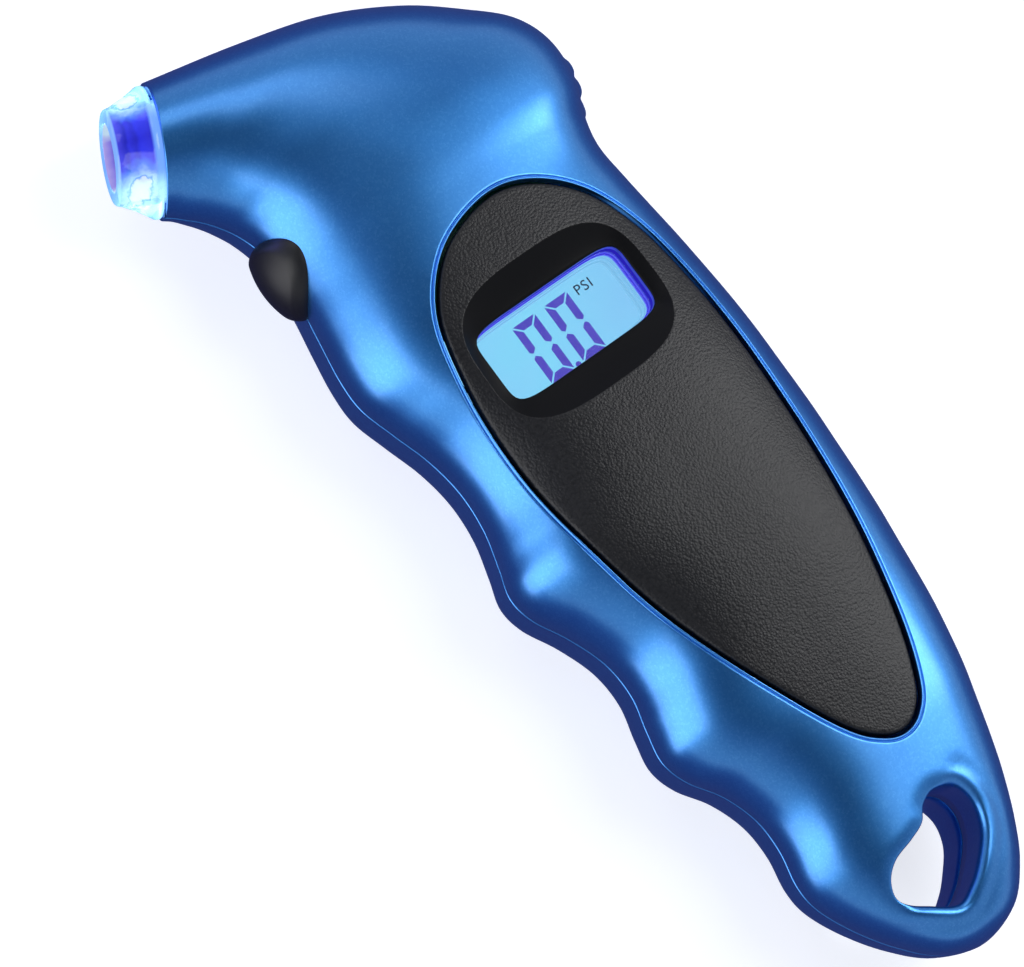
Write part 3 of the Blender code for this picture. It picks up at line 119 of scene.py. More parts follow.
SHELL_SCREWS = [(-3.2, -60.5), (14.0, -40.0), (-23.2, 27.0), (15.4, 48.5), (3.0, 65.0)]
SCREW_SPANS = [(3, 9), (6, 14), (19, 27), (22, 33), (25, 33)]    # ribs round each screw
SCREW_WAY_RADIUS = 2.7
SCREW_FLOOR = -8.7
THUMB_RIDGES = [(21.6, 48.4), (20.8, 45.4), (19.3, 42.5)]
RIDGE_RADIUS = 1.4
RIDGE_SHARE = 0.5                # paint and the mould's rounding fill the valleys
RIDGE_TOP = 6.2                  # height at which a ridge has faded out
RIDGE_FADE = 1.8
FLANK = 10.0                     # right of this is the right flank
PANEL_POCKET = 1.85
PANEL_SHADOW = 0.3               # the panel's opening, drawn wider for its dark gap
COVER_POCKET = 1.5
SEAM_EDGE = 0.25                 # rounding at the seam
LIP_FADE = 4.0                   # height above the seam over which a lip sets in
BUTTON_GAP = 0.3
BUTTON_SIDE = -15.0              # the button's opening lies left of this
BUTTON_SPAN = (22.5, 29.5)       # between these ribs
THINNING = 3.5                   # from an opening to the full wall
THINNEST = 0.04                  # share of the wall left at an opening
NO_LENGTH = 0.001                # an edge this short is no edge

lens_low, lens_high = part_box("display_lens")
seam_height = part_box("rear_shell")[1].z + SEAM_GAP / 2 * MM
shift = np.array([*((lens_low + lens_high) / 2).xy, seam_height])
shift[:2] -= DISPLAY_CENTRE * MM


def placed(points):
    """Drawn points in mm, moved to their place in the frame in metres."""
    return np.asarray(points) * MM + shift


def smooth_rows(rows, before, after, place):
    """Catmull-Rom curve through the rows: at row k + f, half of
    2b + (c - a) f + (2a - 5b + 4c - d) f^2 + (3b - a - 3c + d) f^3, for rows a, b, c, d."""
    knots = np.vstack([before, rows, after])
    span = np.clip(place.astype(int), 0, len(rows) - 2)
    f = (place - span)[:, None]
    a, b, c, d = (knots[span + k] for k in range(4))
    return 0.5 * (2 * b + (c - a) * f + (2 * a - 5 * b + 4 * c - d) * f**2
                  + (3 * b - a - 3 * c + d) * f**3)


def closed_curve(outline, steps):
    """A smooth closed outline through the drawn points, steps points for each one."""
    rows = np.array(outline)
    around = np.vstack([rows, rows[:1]])
    place = np.linspace(0, len(rows), len(rows) * steps + 1)
    return smooth_rows(around, rows[-1], rows[1], place)[:-1]


def grown(outline, amount):
    """A clockwise outline moved outward by amount, along its normal."""
    ahead = np.roll(outline, -1, axis=0) - np.roll(outline, 1, axis=0)
    normal = np.stack([-ahead[:, 1], ahead[:, 0]], axis=1)
    normal /= np.linalg.norm(normal, axis=1)[:, None]
    return outline + amount * normal


def rib_at(u):
    """Ribs at places u along the casing; the lanyard end closes round."""
    rows = np.array(RIBS)
    before = rows[1][[2, 3, 0, 1, 4, 5, 6]] * (1, 1, 1, 1, -1, -1, 1)
    return smooth_rows(rows, before, 2 * rows[-1] - rows[-2], np.asarray(u, float))


def casing_point(u, turn, side):
    """A point of the casing: rib u gives the two edges, and at angle turn from the right
    edge the arch is (cos, sin) / (|cos|^n + |sin|^n)^(1/n), n being its squareness."""
    ribs = rib_at(u)
    left = ribs[:, 0:2]
    right = ribs[:, 2:4]
    high = np.maximum(ribs[:, 4] if side > 0 else ribs[:, 5], 0)
    power = 2 + (SQUARENESS[side] - 2) * ribs[:, 6]
    c = np.cos(turn)
    s = np.abs(np.sin(turn))
    size = (np.abs(c) ** power + s ** power) ** (1 / power)
    flat = (left + right) / 2 + (right - left) / 2 * (c / size)[:, None]
    z = side * (SEAM_GAP / 2 + high * s / size)
    return np.column_stack([flat, z])


def casing_place(points, side, first, last):
    """Rib place and angle of the casing over plan points: the rib whose line passes through
    the point is found between first and last, then the arch angle from the share across."""
    table = np.linspace(first, last, int((last - first) * 24) + 1)
    ribs = rib_at(table)
    along = ribs[:, 2:4] - ribs[:, 0:2]
    places = []
    for part in np.array_split(points, max(1, len(points) // 4000)):
        off = part[:, None, :] - ribs[None, :, 0:2]
        cross = along[None, :, 0] * off[:, :, 1] - along[None, :, 1] * off[:, :, 0]
        here = np.argmax(np.diff(np.sign(cross), axis=1) != 0, axis=1)
        rows = np.arange(len(part))
        a = cross[rows, here]
        b = cross[rows, here + 1]
        places.append(table[here] + a / (a - b) * (table[1] - table[0]))
    u = np.concatenate(places)
    ribs = rib_at(u)
    left = ribs[:, 0:2]
    along = ribs[:, 2:4] - left
    share = ((points - left) * along).sum(1) / (along ** 2).sum(1) * 2 - 1
    power = 2 + (SQUARENESS[side] - 2) * ribs[:, 6]
    share = np.clip(share, -0.9999, 0.9999)
    high = (1 - np.abs(share) ** power) ** (1 / power)
    return u, np.arctan2(high, share)


def left_flank_place(outline, side, first, last):
    """Rib place and angle where the left flank has a given plan y and height."""
    table = np.linspace(first, last, 400)
    ribs = rib_at(table)
    crown = ribs[:, 4] if side > 0 else ribs[:, 5]
    power = 2 + (SQUARENESS[side] - 2) * ribs[:, 6]
    rise = np.clip((np.abs(outline[:, 1])[:, None] - SEAM_GAP / 2) / crown, 0, 0.9999)
    share = (1 - rise ** power) ** (1 / power)
    middle = (ribs[:, 1] + ribs[:, 3]) / 2
    y = middle + (ribs[:, 1] - middle) * share
    off = y - outline[:, 0][:, None]
    here = np.argmax(np.diff(np.sign(off), axis=1) != 0, axis=1)
    rows = np.arange(len(outline))
    f = off[rows, here] / (off[rows, here] - off[rows, here + 1])
    u = table[here] + f * (table[1] - table[0])
    rise = rise[rows, here] * (1 - f) + rise[rows, here + 1] * f
    share = share[rows, here] * (1 - f) + share[rows, here + 1] * f
    return u, np.arctan2(rise, -share)


def inside(points, loop):
    """Whether each point lies in a closed loop, by counting the sides it crosses."""
    found = np.zeros(len(points), bool)
    ahead = np.roll(loop, -1, axis=0)
    for (x0, y0), (x1, y1) in zip(loop, ahead):
        if y0 == y1:
            continue
        level = (points[:, 1] > y0) != (points[:, 1] > y1)
        found ^= level & (points[:, 0] < x0 + (points[:, 1] - y0) / (y1 - y0) * (x1 - x0))
    return found


def rounded(distance, radius):
    """How far an edge rounded to a radius has fallen away at a distance from its corner."""
    near = np.clip(radius - distance, 0, radius)
    return radius - np.sqrt(radius ** 2 - near ** 2)


def dip(distance, centre, width):
    """A soft groove, 1 deep at its centre: a bell curve over the distance."""
    return np.exp(-((distance - centre) / width) ** 2)


def eased(share):
    """A share kept within 0 and 1 and smoothed at both ends: s^2 (3 - 2 s)."""
    share = np.clip(share, 0, 1)
    return share * share * (3 - 2 * share)


def panel_lip(distance, _):
    """Fall of the lip round the face panel: a thin bead, then a groove outside it."""
    return rounded(distance, 0.14) + 0.3 * dip(distance, 0.42, 0.1)


def lanyard_lip(distance, points):
    """Fall of the lanyard hole's rim: to the right and below, a round bead with a shallow
    valley outside it; on the other side a crisp edge, sunk a little."""
    share = eased((points - BEAD_START) @ BEAD_SIDE / 3)
    bead = rounded(distance, BEAD_RADIUS) + 0.16 * dip(distance, 3.0, 0.9)
    crisp = rounded(distance, 0.35) + 0.4 * np.clip(1 - distance / 2.4, 0, 1) ** 2
    return share * bead + (1 - share) * crisp


def small_lip(distance, _):
    """Fall of a plainly rounded edge."""
    return rounded(distance, 0.3)


LIP_RINGS = {
    panel_lip: [0, 0.02, 0.05, 0.09, 0.14, 0.22, 0.28, 0.33, 0.38, 0.42, 0.46, 0.51, 0.57,
                0.65, 0.8],
    lanyard_lip: [0, 0.04, 0.12, 0.25, 0.45, 0.7, 1.0, 1.35, 1.7, 2.1],
    small_lip: [0, 0.03, 0.1, 0.2, 0.3],
}
ALONG = 5.0                      # mm of chart for each rib, so that its triangles stay even
ROUND = 20.0                     # mm of chart for each radian of arch
FAR = 99.0                       # mm, past everything


def gap_to(points, outline):
    """Shortest distance from each point to a closed outline."""
    gap = np.full(len(points), FAR)
    for a, b in zip(outline, np.roll(outline, -1, axis=0)):
        along = b - a
        f = np.clip(((points - a) @ along) / (along @ along), 0, 1)
        gap = np.minimum(gap, np.linalg.norm(points - a - f[:, None] * along, axis=1))
    return gap


def ridge_push(points):
    """Points at the thumb ridges, pushed out to their round bars; the bars fade with height."""
    pushed = points.copy()
    fade = eased((RIDGE_TOP - np.abs(points[:, 2])) / RIDGE_FADE)
    for x, y in THUMB_RIDGES:
        near = RIDGE_RADIUS ** 2 - (points[:, 1] - y) ** 2
        bar = x + np.sqrt(np.clip(near, 0, None))
        here = (near > 0) & (points[:, 0] > FLANK)
        out = np.where(here, np.maximum(bar - points[:, 0], 0), 0)
        pushed[:, 0] += RIDGE_SHARE * out * fade
    return pushed


def join_chart(loose, loops, holes):
    """Delaunay triangles over loose chart points and rings of points, keeping each ring's
    sides; triangles whose centre is in a hole are left out. A ring is (points, closed)."""
    points = [loose]
    edges = []
    count = len(loose)
    for loop, closed in loops:
        ids = np.arange(count, count + len(loop))
        edges += list(zip(ids[:-1].tolist(), ids[1:].tolist()))
        if closed:
            edges.append((int(ids[-1]), int(ids[0])))
        points.append(loop)
        count += len(loop)
    chart = [Vector(p) for p in np.vstack(points)]
    flat, _, faces, origin, _, _ = delaunay_2d_cdt(chart, edges, [], 0, 1e-6)
    flat = np.array([tuple(p) for p in flat])
    faces = np.array(faces)
    centre = flat[faces].mean(axis=1)
    for loop in holes:
        outside = ~inside(centre, loop)
        faces = faces[outside]
        centre = centre[outside]
    source = np.zeros(count, int)
    source[np.concatenate(origin).astype(int)] = np.repeat(np.arange(len(origin)),
                                                           [len(olds) for olds in origin])
    return flat, faces, source


def hang_wall(points, faces, rim, levels, closed=True):
    """Adds a wall of rows below a rim: each level is the rim's points moved on."""
    length = len(rim)
    a = np.arange(length if closed else length - 1)
    b = (a + 1) % length
    before = np.asarray(rim)
    for level in levels:
        ids = np.arange(len(points), len(points) + length)
        points = np.vstack([points, level])
        sides = [np.column_stack([before[a], before[b], ids[b]]),
                 np.column_stack([before[a], ids[b], ids[a]])]
        faces = np.vstack([faces, *sides])
        before = ids
    return points, faces


def button_notch(side):
    """Rings round the button's opening in one half, from seam to seam over its top."""
    outline = grown(closed_curve(BUTTON_OUTLINE, 4)[::-1], BUTTON_GAP)
    high = outline[outline[:, 1] * side > SEAM_GAP / 2 + 0.05]
    high = high[np.argsort(np.arctan2(np.abs(high[:, 1]), high[:, 0] - BUTTON_CENTRE[0]))]
    base = SEAM_GAP / 2 * side
    half = np.vstack([[high[0][0], base], high, [high[-1][0], base]])
    away = half - BUTTON_CENTRE
    away[[0, -1], 1] = 0
    away /= np.linalg.norm(away, axis=1)[:, None]
    loops = []
    for ring in LIP_RINGS[small_lip]:
        place, angle = left_flank_place(half + ring * away, side, *BUTTON_SPAN)
        angle[[0, -1]] = math.pi
        loops.append(np.column_stack([place * ALONG, angle * ROUND]))
    return loops


def past_edge(loop):
    """Closes an open ring round the far side of the chart's edge."""
    return np.vstack([loop, [loop[-1][0], FAR], [loop[0][0], FAR]])


RIB_STEP = 0.14
RIDGE_RIBS = (24.6, 27.5)        # the thumb ridges lie between these, on a finer grid
RIDGE_STEP = 0.06
SEAM_TURNS = [0, 0.0035, 0.008, 0.016, 0.028, 0.045]    # rows close above the seam
RING_ROOM = 0.25                 # between a lip's last ring and the grid
WALL_SHARES = (0.12, 0.4, 0.7, 1.0)
NOTCH_DEPTHS = (0.6, 1.4, 2.4)


def make_half(name, side, cuts):
    """One casing half: a grid over rib place and arch angle is joined by a chart to rings
    that follow each opening, lifted to the arches, cut down by each lip, and given walls. A
    cut is its outline, its lip, the foot of its wall from its top, and the ribs it is between."""
    last = len(RIBS) - 1
    low, high = RIDGE_RIBS
    places = np.concatenate([np.arange(0, low, RIB_STEP), np.arange(low, high, RIDGE_STEP),
                             np.arange(high, last, RIB_STEP), [last]])
    edge = np.array(SEAM_TURNS[:-1])
    turns = np.concatenate([edge, np.linspace(SEAM_TURNS[-1], math.pi - SEAM_TURNS[-1], 92),
                            math.pi - edge[::-1]])
    u, turn = (g.ravel() for g in np.meshgrid(places, turns, indexing="ij"))
    plan = casing_point(u, turn, side)[:, :2]
    keep = np.ones(len(u), bool)
    fall = np.zeros(len(u))
    rings = []
    falls = []
    rims = []
    holes = []
    for outline, lip, _, span in cuts:
        gap = gap_to(plan, outline)
        fall = np.maximum(fall, lip(gap, plan))
        keep &= (gap > LIP_RINGS[lip][-1] + RING_ROOM) & ~inside(plan, outline)
        for ring in LIP_RINGS[lip]:
            loop = grown(outline, ring)
            place, angle = casing_place(loop, side, *span)
            rings.append((np.column_stack([place * ALONG, angle * ROUND]), True))
            falls.append(lip(np.full(len(loop), ring), loop))
            if ring == 0:
                rims.append(len(rings) - 1)
                holes.append(rings[-1][0])
    notch = button_notch(side)
    here = np.column_stack([u * ALONG, turn * ROUND])
    keep &= ~inside(here, past_edge(notch[-1]))
    rims.append(len(rings))
    holes.append(past_edge(notch[0]))
    for loop in notch:
        rings.append((loop, False))
        falls.append(np.zeros(len(loop)))
    flat, faces, source = join_chart(here[keep], rings, holes)
    lowered = np.zeros(len(flat))
    lowered[source] = np.concatenate([fall[keep], *falls])
    u = flat[:, 0] / ALONG
    shaped = casing_point(u, flat[:, 1] / ROUND, side)
    rise = np.abs(shaped[:, 2]) - SEAM_GAP / 2
    shaped[:, 2] -= side * lowered * np.clip(rise / LIP_FADE, 0, 1)
    ribs = rib_at(u)
    inward = (ribs[:, 0:2] + ribs[:, 2:4]) / 2 - shaped[:, :2]
    reach = np.linalg.norm(inward, axis=1)
    inward /= np.maximum(reach, 1e-6)[:, None]
    shaped[:, :2] += inward * np.minimum(rounded(rise, SEAM_EDGE), reach)[:, None]
    shaped = ridge_push(shaped)
    starts = np.cumsum([keep.sum()] + [len(loop) for loop, _ in rings])
    for k, start in enumerate(rims):
        loop, closed = rings[start]
        rim = source[starts[start]:starts[start] + len(loop)]
        top = shaped[rim]
        if closed:
            bottom = cuts[k][2](top[:, 2])
            levels = [np.column_stack([top[:, :2], top[:, 2] + f * (bottom - top[:, 2])])
                      for f in WALL_SHARES]
        else:
            levels = [top + np.array([depth, 0, 0]) for depth in NOTCH_DEPTHS]
        shaped, faces = hang_wall(shaped, faces, rim, levels, closed)
    half = build_mesh(name, placed(shaped), faces, merge=0.004, outward=(0, 0, side))
    drawn = np.empty(len(half.data.vertices) * 3)
    half.data.vertices.foreach_get("co", drawn)
    drawn = (drawn.reshape(-1, 3) - shift) / MM
    gap = np.min([gap_to(drawn[:, :2], outline) for outline, _, _, _ in cuts], axis=0)
    flank = gap_to(drawn[:, 1:], closed_curve(BUTTON_OUTLINE, 4))
    gap = np.where(drawn[:, 0] < BUTTON_SIDE, np.minimum(gap, flank), gap)
    return thicken(half, WALL, gap)


def build_mesh(name, points, faces, merge=0.0, outward=None):
    """A smooth piece from points and faces, its doubles within merge mm joined, its normals
    made to agree and turned outward: away from it, or on an open skin to the side given."""
    mesh = bpy.data.meshes.new(name)
    mesh.from_pydata(np.asarray(points).tolist(), [],
                     faces if isinstance(faces, list) else faces.tolist())
    bm = bmesh.new()
    bm.from_mesh(mesh)
    if merge:
        bmesh.ops.remove_doubles(bm, verts=bm.verts, dist=merge * MM)
        bmesh.ops.dissolve_degenerate(bm, edges=bm.edges, dist=NO_LENGTH * MM)
        loose = [v for v in bm.verts if not v.link_faces]
        bmesh.ops.delete(bm, geom=loose, context="VERTS")
    bmesh.ops.recalc_face_normals(bm, faces=bm.faces)
    if outward is not None:
        facing = sum(f.normal.dot(outward) * f.calc_area() for f in bm.faces)
        if facing < 0:
            bmesh.ops.reverse_faces(bm, faces=bm.faces)
    bm.to_mesh(mesh)
    bm.free()
    mesh.shade_smooth()
    piece = bpy.data.objects.new(name, mesh)
    bpy.context.scene.collection.objects.link(piece)
    return piece


def thicken(piece, thickness, gap=None):
    """Gives an open skin its wall in mm, inwards. Given each point's gap to the nearest
    opening, the wall thins towards it, so that its inner side stays under a sloping skin."""
    wall = piece.modifiers.new("wall", "SOLIDIFY")
    wall.thickness = thickness * MM
    wall.offset = -1
    if gap is not None:
        shares = np.round(np.clip(gap / THINNING, THINNEST, 1), 2)
        group = piece.vertex_groups.new(name="wall")
        for share in np.unique(shares):
            group.add(np.flatnonzero(shares == share).tolist(), float(share), "REPLACE")
        wall.vertex_group = group.name
    return piece


def linear(colour):
    """An sRGB hex colour as linear red, green, blue and alpha."""
    parts = [int(colour[i:i + 2], 16) / 255 for i in (1, 3, 5)]
    return (*[p / 12.92 if p <= 0.04045 else ((p + 0.055) / 1.055) ** 2.4 for p in parts], 1.0)


def fill(tree, node, inputs):
    """Sets a node's inputs; one that is given a socket is linked."""
    for key, value in inputs.items():
        if isinstance(value, bpy.types.NodeSocket):
            tree.links.new(value, node.inputs[key])
        else:
            node.inputs[key].default_value = value


def add(tree, kind, inputs=None, out=0, stops=(), **settings):
    """Adds a shader node with its settings and links, and gives one of its outputs; stops
    are the (position, hex colour) pairs of a ramp."""
    made = tree.nodes.new("ShaderNode" + kind)
    for key, value in settings.items():
        setattr(made, key, value)
    fill(tree, made, inputs or {})
    for k, (position, colour) in enumerate(stops):
        ramp = made.color_ramp.elements
        element = ramp[k] if k < 2 else ramp.new(position)
        element.position = position
        element.color = linear(colour)
    return made.outputs[out]


def new_material(name):
    """A material, its tree, and the object coordinates for its patterns."""
    made = bpy.data.materials.new(name)
    made.use_nodes = True
    return made, made.node_tree, add(made.node_tree, "TexCoord", out="Object")


def finish(made, **inputs):
    """Fills in a material's shader; underscores in input names stand for spaces."""
    tree = made.node_tree
    fill(tree, tree.nodes["Principled BSDF"],
         {key.replace("_", " "): value for key, value in inputs.items()})
    return made


def casing_lacquer():
    """Metallic blue lacquer on ABS, sprayed and cured: aluminium flakes under a clear top
    coat give a satin blue mirror. Flakes are about 0.05 mm; they are drawn at 0.25 mm, so
    that they show. The coat is uneven over 6 mm, and the spray's slight waves are 4 mm."""
    made, tree, coords = new_material("metallic_blue_lacquer")
    tint = add(tree, "TexVoronoi", {"Vector": coords, "Scale": 1 / (0.25 * MM)}, out="Color")
    cloud = add(tree, "TexNoise", {"Vector": coords, "Scale": 1 / (6 * MM), "Detail": 3.0})
    wave = add(tree, "TexNoise", {"Vector": coords, "Scale": 1 / (4 * MM)})
    soft = add(tree, "Bump", {"Height": wave, "Strength": 0.04, "Distance": 0.3 * MM})
    return finish(
        made, Metallic=0.94, Coat_Weight=0.7, Coat_Roughness=0.22, Coat_IOR=1.5,
        Base_Color=add(tree, "ValToRGB", {"Fac": tint}, stops=[
            (0.0, "#3787d4"), (0.6, "#3d8dd8"), (1.0, "#4898df")]),
        Roughness=add(tree, "MapRange", {"Value": cloud, "To Min": 0.3, "To Max": 0.37}),
        Normal=add(tree, "Bump", {"Height": tint.node.outputs["Distance"], "Normal": soft,
                                  "Strength": 0.03, "Distance": 0.02 * MM}))


def circle(centre, radius, count):
    """A clockwise circle of points."""
    turn = -np.linspace(0, 2 * math.pi, count, endpoint=False)
    return np.array(centre) + radius * np.column_stack([np.cos(turn), np.sin(turn)])


def to_seam(side):
    """The foot of a wall that ends at the seam, whatever its top."""
    return lambda top: np.full_like(top, side * SEAM_GAP / 2)


lanyard = closed_curve(LANYARD_OUTLINE, 10)
front = make_half("front_casing", 1, [
    (grown(closed_curve(PANEL_OUTLINE, 18), PANEL_SHADOW), panel_lip,
     lambda top: top - PANEL_POCKET, (3, 27)),
    (lanyard, lanyard_lip, to_seam(1), (0.3, 9)),
])
back = make_half("rear_casing", -1, [
    (lanyard, lanyard_lip, to_seam(-1), (0.3, 9)),
    (closed_curve(COVER_OUTLINE, 18), small_lip, lambda top: top + COVER_POCKET, (5, 26)),
] + [(circle(place, SCREW_WAY_RADIUS, 40), small_lip,
      lambda top: np.full_like(top, SCREW_FLOOR), span)
     for place, span in zip(SHELL_SCREWS, SCREW_SPANS)])
LACQUER = casing_lacquer()
for half, node_name in ((front, "front_shell"), (back, "rear_shell")):
    half.data.materials.append(LACQUER)
    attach(half, "casing")
    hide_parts(node_name)


# ---- face panel ----------------------------------------------------------------------------
# The egg-shaped insert is a thin black ABS moulding with a fine leather grain, glued into its
# pocket. A smooth scoop falls from its face to the window's edge.
PANEL_RECESS = 0.25
PANEL_GAP = 0.3
PANEL_WALL = 1.0
SCOOP_FLOOR = 12.85
WINDOW = (25.2, 11.8, 7.0)        # width, height and corner exponent
SCOOP = (29.2, 22.0, 3.2)
WINDOW_COUNT = 144                # points round the window
PANEL_EDGE = 0.45                 # rounding of the panel's edge
PANEL_GRID = 0.75
GRAIN = 0.36                      # mm between the grain's pebbles


def superellipse(width, height, power, count, centre=DISPLAY_CENTRE):
    """A clockwise outline: at angle t, (cos, sin) / (|cos / a|^n + |sin / b|^n)^(1/n)."""
    turn = -np.linspace(0, 2 * math.pi, count, endpoint=False)
    c = np.cos(turn)
    s = np.sin(turn)
    size = (np.abs(c / (width / 2)) ** power + np.abs(s / (height / 2)) ** power)
    return np.array(centre) + np.column_stack([c, s]) / (size ** (1 / power))[:, None]


def face_height(points):
    """Height of the casing's face over plan points near the panel."""
    return casing_point(*casing_place(points, 1, 3, 27), 1)[:, 2]


def make_panel():
    """The casing's face less the recess, over a plan grid; its edge is rounded, and each
    ring of the scoop lies a share k of the way from the window to the rim, at k^1.3 of
    the height between them."""
    edge = grown(closed_curve(PANEL_OUTLINE, 18), -PANEL_GAP)
    rings = []
    heights = []
    for inset in (0, 0.04, 0.12, 0.25, 0.42, 0.8):
        loop = grown(edge, -inset)
        rings.append((loop, True))
        heights.append(face_height(loop) - PANEL_RECESS - rounded(inset, PANEL_EDGE))
    window = superellipse(*WINDOW, WINDOW_COUNT)
    rim = superellipse(*SCOOP, WINDOW_COUNT)
    rim_height = face_height(rim) - PANEL_RECESS
    for k in (1.12, 1.04, 1.0, 0.97, 0.92, 0.84, 0.74, 0.62, 0.48, 0.34, 0.2, 0.1, 0.04, 0.0):
        loop = window + k * (rim - window)
        rings.append((loop, True))
        if k > 1:
            heights.append(face_height(loop) - PANEL_RECESS)
        else:
            heights.append(SCOOP_FLOOR + (rim_height - SCOOP_FLOOR) * k ** 1.3
                           - rounded(k * 5, 0.25))
    x, y = np.meshgrid(np.arange(-22, 16.5, PANEL_GRID), np.arange(-55.5, 39, PANEL_GRID))
    loose = np.column_stack([x.ravel(), y.ravel()])
    outer = window + 1.2 * (rim - window)
    loose = loose[inside(loose, grown(edge, -1.1)) & ~inside(loose, outer)]
    flat, faces, source = join_chart(loose, rings, [window])
    faces = faces[inside(flat[faces].mean(axis=1), edge)]
    z = np.zeros(len(flat))
    z[source] = np.concatenate([face_height(loose) - PANEL_RECESS, *heights])
    points = np.column_stack([flat, z])
    smooth = inside(flat[faces].mean(axis=1), rim)
    starts = np.cumsum([len(loose)] + [len(loop) for loop, _ in rings])
    kinds = [smooth]
    for start, count, depths in ((starts[0], len(edge), (0.4, 1.0, 1.5)),
                                 (starts[len(rings) - 1], WINDOW_COUNT, (0.1, 0.4, 1.0))):
        top = points[source[start:start + count]]
        levels = [top - np.array([0, 0, depth]) for depth in depths]
        before = len(faces)
        points, faces = hang_wall(points, faces, source[start:start + count], levels)
        kinds.append(np.full(len(faces) - before, 2 * (count == WINDOW_COUNT)))
    piece = build_mesh("face_insert", placed(points), faces, outward=(0, 0, 1))
    piece.data.polygons.foreach_set("material_index", np.concatenate(kinds).astype(int))
    return thicken(piece, PANEL_WALL)


def grained_abs():
    """Black ABS moulded against an etched leather texture: flat-topped pebbles with narrow
    creases, bent over 1.4 mm, and 0.22 mm pores all over. Its colour is painted light: a
    painted soft grey sheen on the pebble tops and painted shade darkening the creases."""
    made, tree, coords = new_material("grained_black_abs")
    bend = add(tree, "TexNoise", {"Vector": coords, "Scale": 1 / (1.4 * MM)}, out="Color")
    bent = add(tree, "MixRGB", {"Fac": 0.0003, "Color1": coords, "Color2": bend},
               blend_type="ADD")
    pebbles = add(tree, "TexVoronoi", {"Vector": bent, "Scale": 1 / (GRAIN * MM),
                                       "Smoothness": 0.4}, feature="SMOOTH_F1")
    pores = add(tree, "TexNoise", {"Vector": coords, "Scale": 1 / (0.22 * MM)})
    height = add(tree, "Math", {0: pores, 1: 0.35, 2: add(
        tree, "Math", {0: pebbles, 1: -1.0}, operation="MULTIPLY")}, operation="MULTIPLY_ADD")
    return finish(
        made, Specular_IOR_Level=0.42,
        # painted light: the grey pebble tops are painted sheen, the darker creases painted shade
        Base_Color=add(tree, "ValToRGB", {"Fac": pebbles}, stops=[
            (0.0, "#151516"), (0.5, "#151516"), (0.85, "#070708")]),
        Roughness=add(tree, "MapRange", {"Value": pores, "To Min": 0.36, "To Max": 0.48}),
        Normal=add(tree, "Bump", {"Height": height, "Strength": 0.45, "Distance": 0.12 * MM}))


def speckled(name, size, stops=(), to="Base_Color", rough=None, bump=None, detail=2.0,
             **inputs):
    """A material that varies over a noise of the given size in mm: the stops' colours go to
    one input, rough is a range of roughness, and bump is a strength and a depth in mm."""
    made, tree, coords = new_material(name)
    noise = add(tree, "TexNoise", {"Vector": coords, "Scale": 1 / (size * MM),
                                   "Detail": detail})
    if stops:
        inputs[to] = add(tree, "ValToRGB", {"Fac": noise}, stops=stops)
    if rough:
        inputs["Roughness"] = add(tree, "MapRange", {"Value": noise, "To Min": rough[0],
                                                     "To Max": rough[1]})
    if bump:
        inputs["Normal"] = add(tree, "Bump", {"Height": noise, "Strength": bump[0],
                                              "Distance": bump[1] * MM})
    return finish(made, **inputs)


panel = make_panel()
GRAINED = grained_abs()
# the scoop's ABS met a blasted tool face: an even satin, its grit too small to see
SATIN = speckled("satin_black_abs", 0.12, [(0.3, "#0b0b0c"), (0.7, "#0f0f10")],
                 rough=(0.36, 0.46), bump=(0.12, 0.02), Specular_IOR_Level=0.12)
# the window's edge is black ABS that the backlight fills with a slightly uneven violet
LIT_EDGE = speckled("backlit_window_edge", 2, [(0.3, "#1d16a0"), (0.7, "#3a30e0")],
                    to="Emission_Color", Emission_Strength=0.8, Roughness=0.4,
                    Base_Color=linear("#06062a"), Specular_IOR_Level=0.15)
for material in (GRAINED, SATIN, LIT_EDGE):
    panel.data.materials.append(material)
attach(panel, "casing")
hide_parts("face_panel")


# ---- display -------------------------------------------------------------------------------
# Under the window lie a clear lens, a white light guide moulded in three thin steps, and the
# liquid-crystal cell on its blue backlight, whose light also fills the guide's walls. The
# reading is a generic 0.0 with its unit.
GUIDE_TOP = 10.25
GUIDE_BOTTOM = 5.3
GUIDE_STEPS = [(10.25, 0.0), (9.1, 0.0), (9.0, 0.14), (7.7, 0.14), (7.6, 0.3), (6.3, 0.3),
               (6.2, 0.5), (5.3, 0.5)]          # height and inset
GUIDE_WALL = 1.0
GUIDE_COUNT = 120                # points round the guide
CELL_SHAPE = (29.0, 17.0, 16, 96)               # size, corner exponent and points round it
CELL_TOP = 5.0
CELL_STEPS = [(3.0, 0.1), (3.1, 0), (4.9, 0), (CELL_TOP, 0.1)]
LIT_REACH = 13.0                 # from the cell's middle to where its light levels off
DIGIT_LEFT = (-8.2, -2.5)
DIGIT_SIZE = (4.05, 9.6)
DIGIT_BOTTOM = 12.75
STROKE = 1.15                    # width of a segment
GAP = 0.18                       # between two segments
DOT = (-3.35, 12.95, 0.42)       # x, y and radius
UNIT_PLACE = (2.55, 20.85)
UNIT_SIZE = 2.15


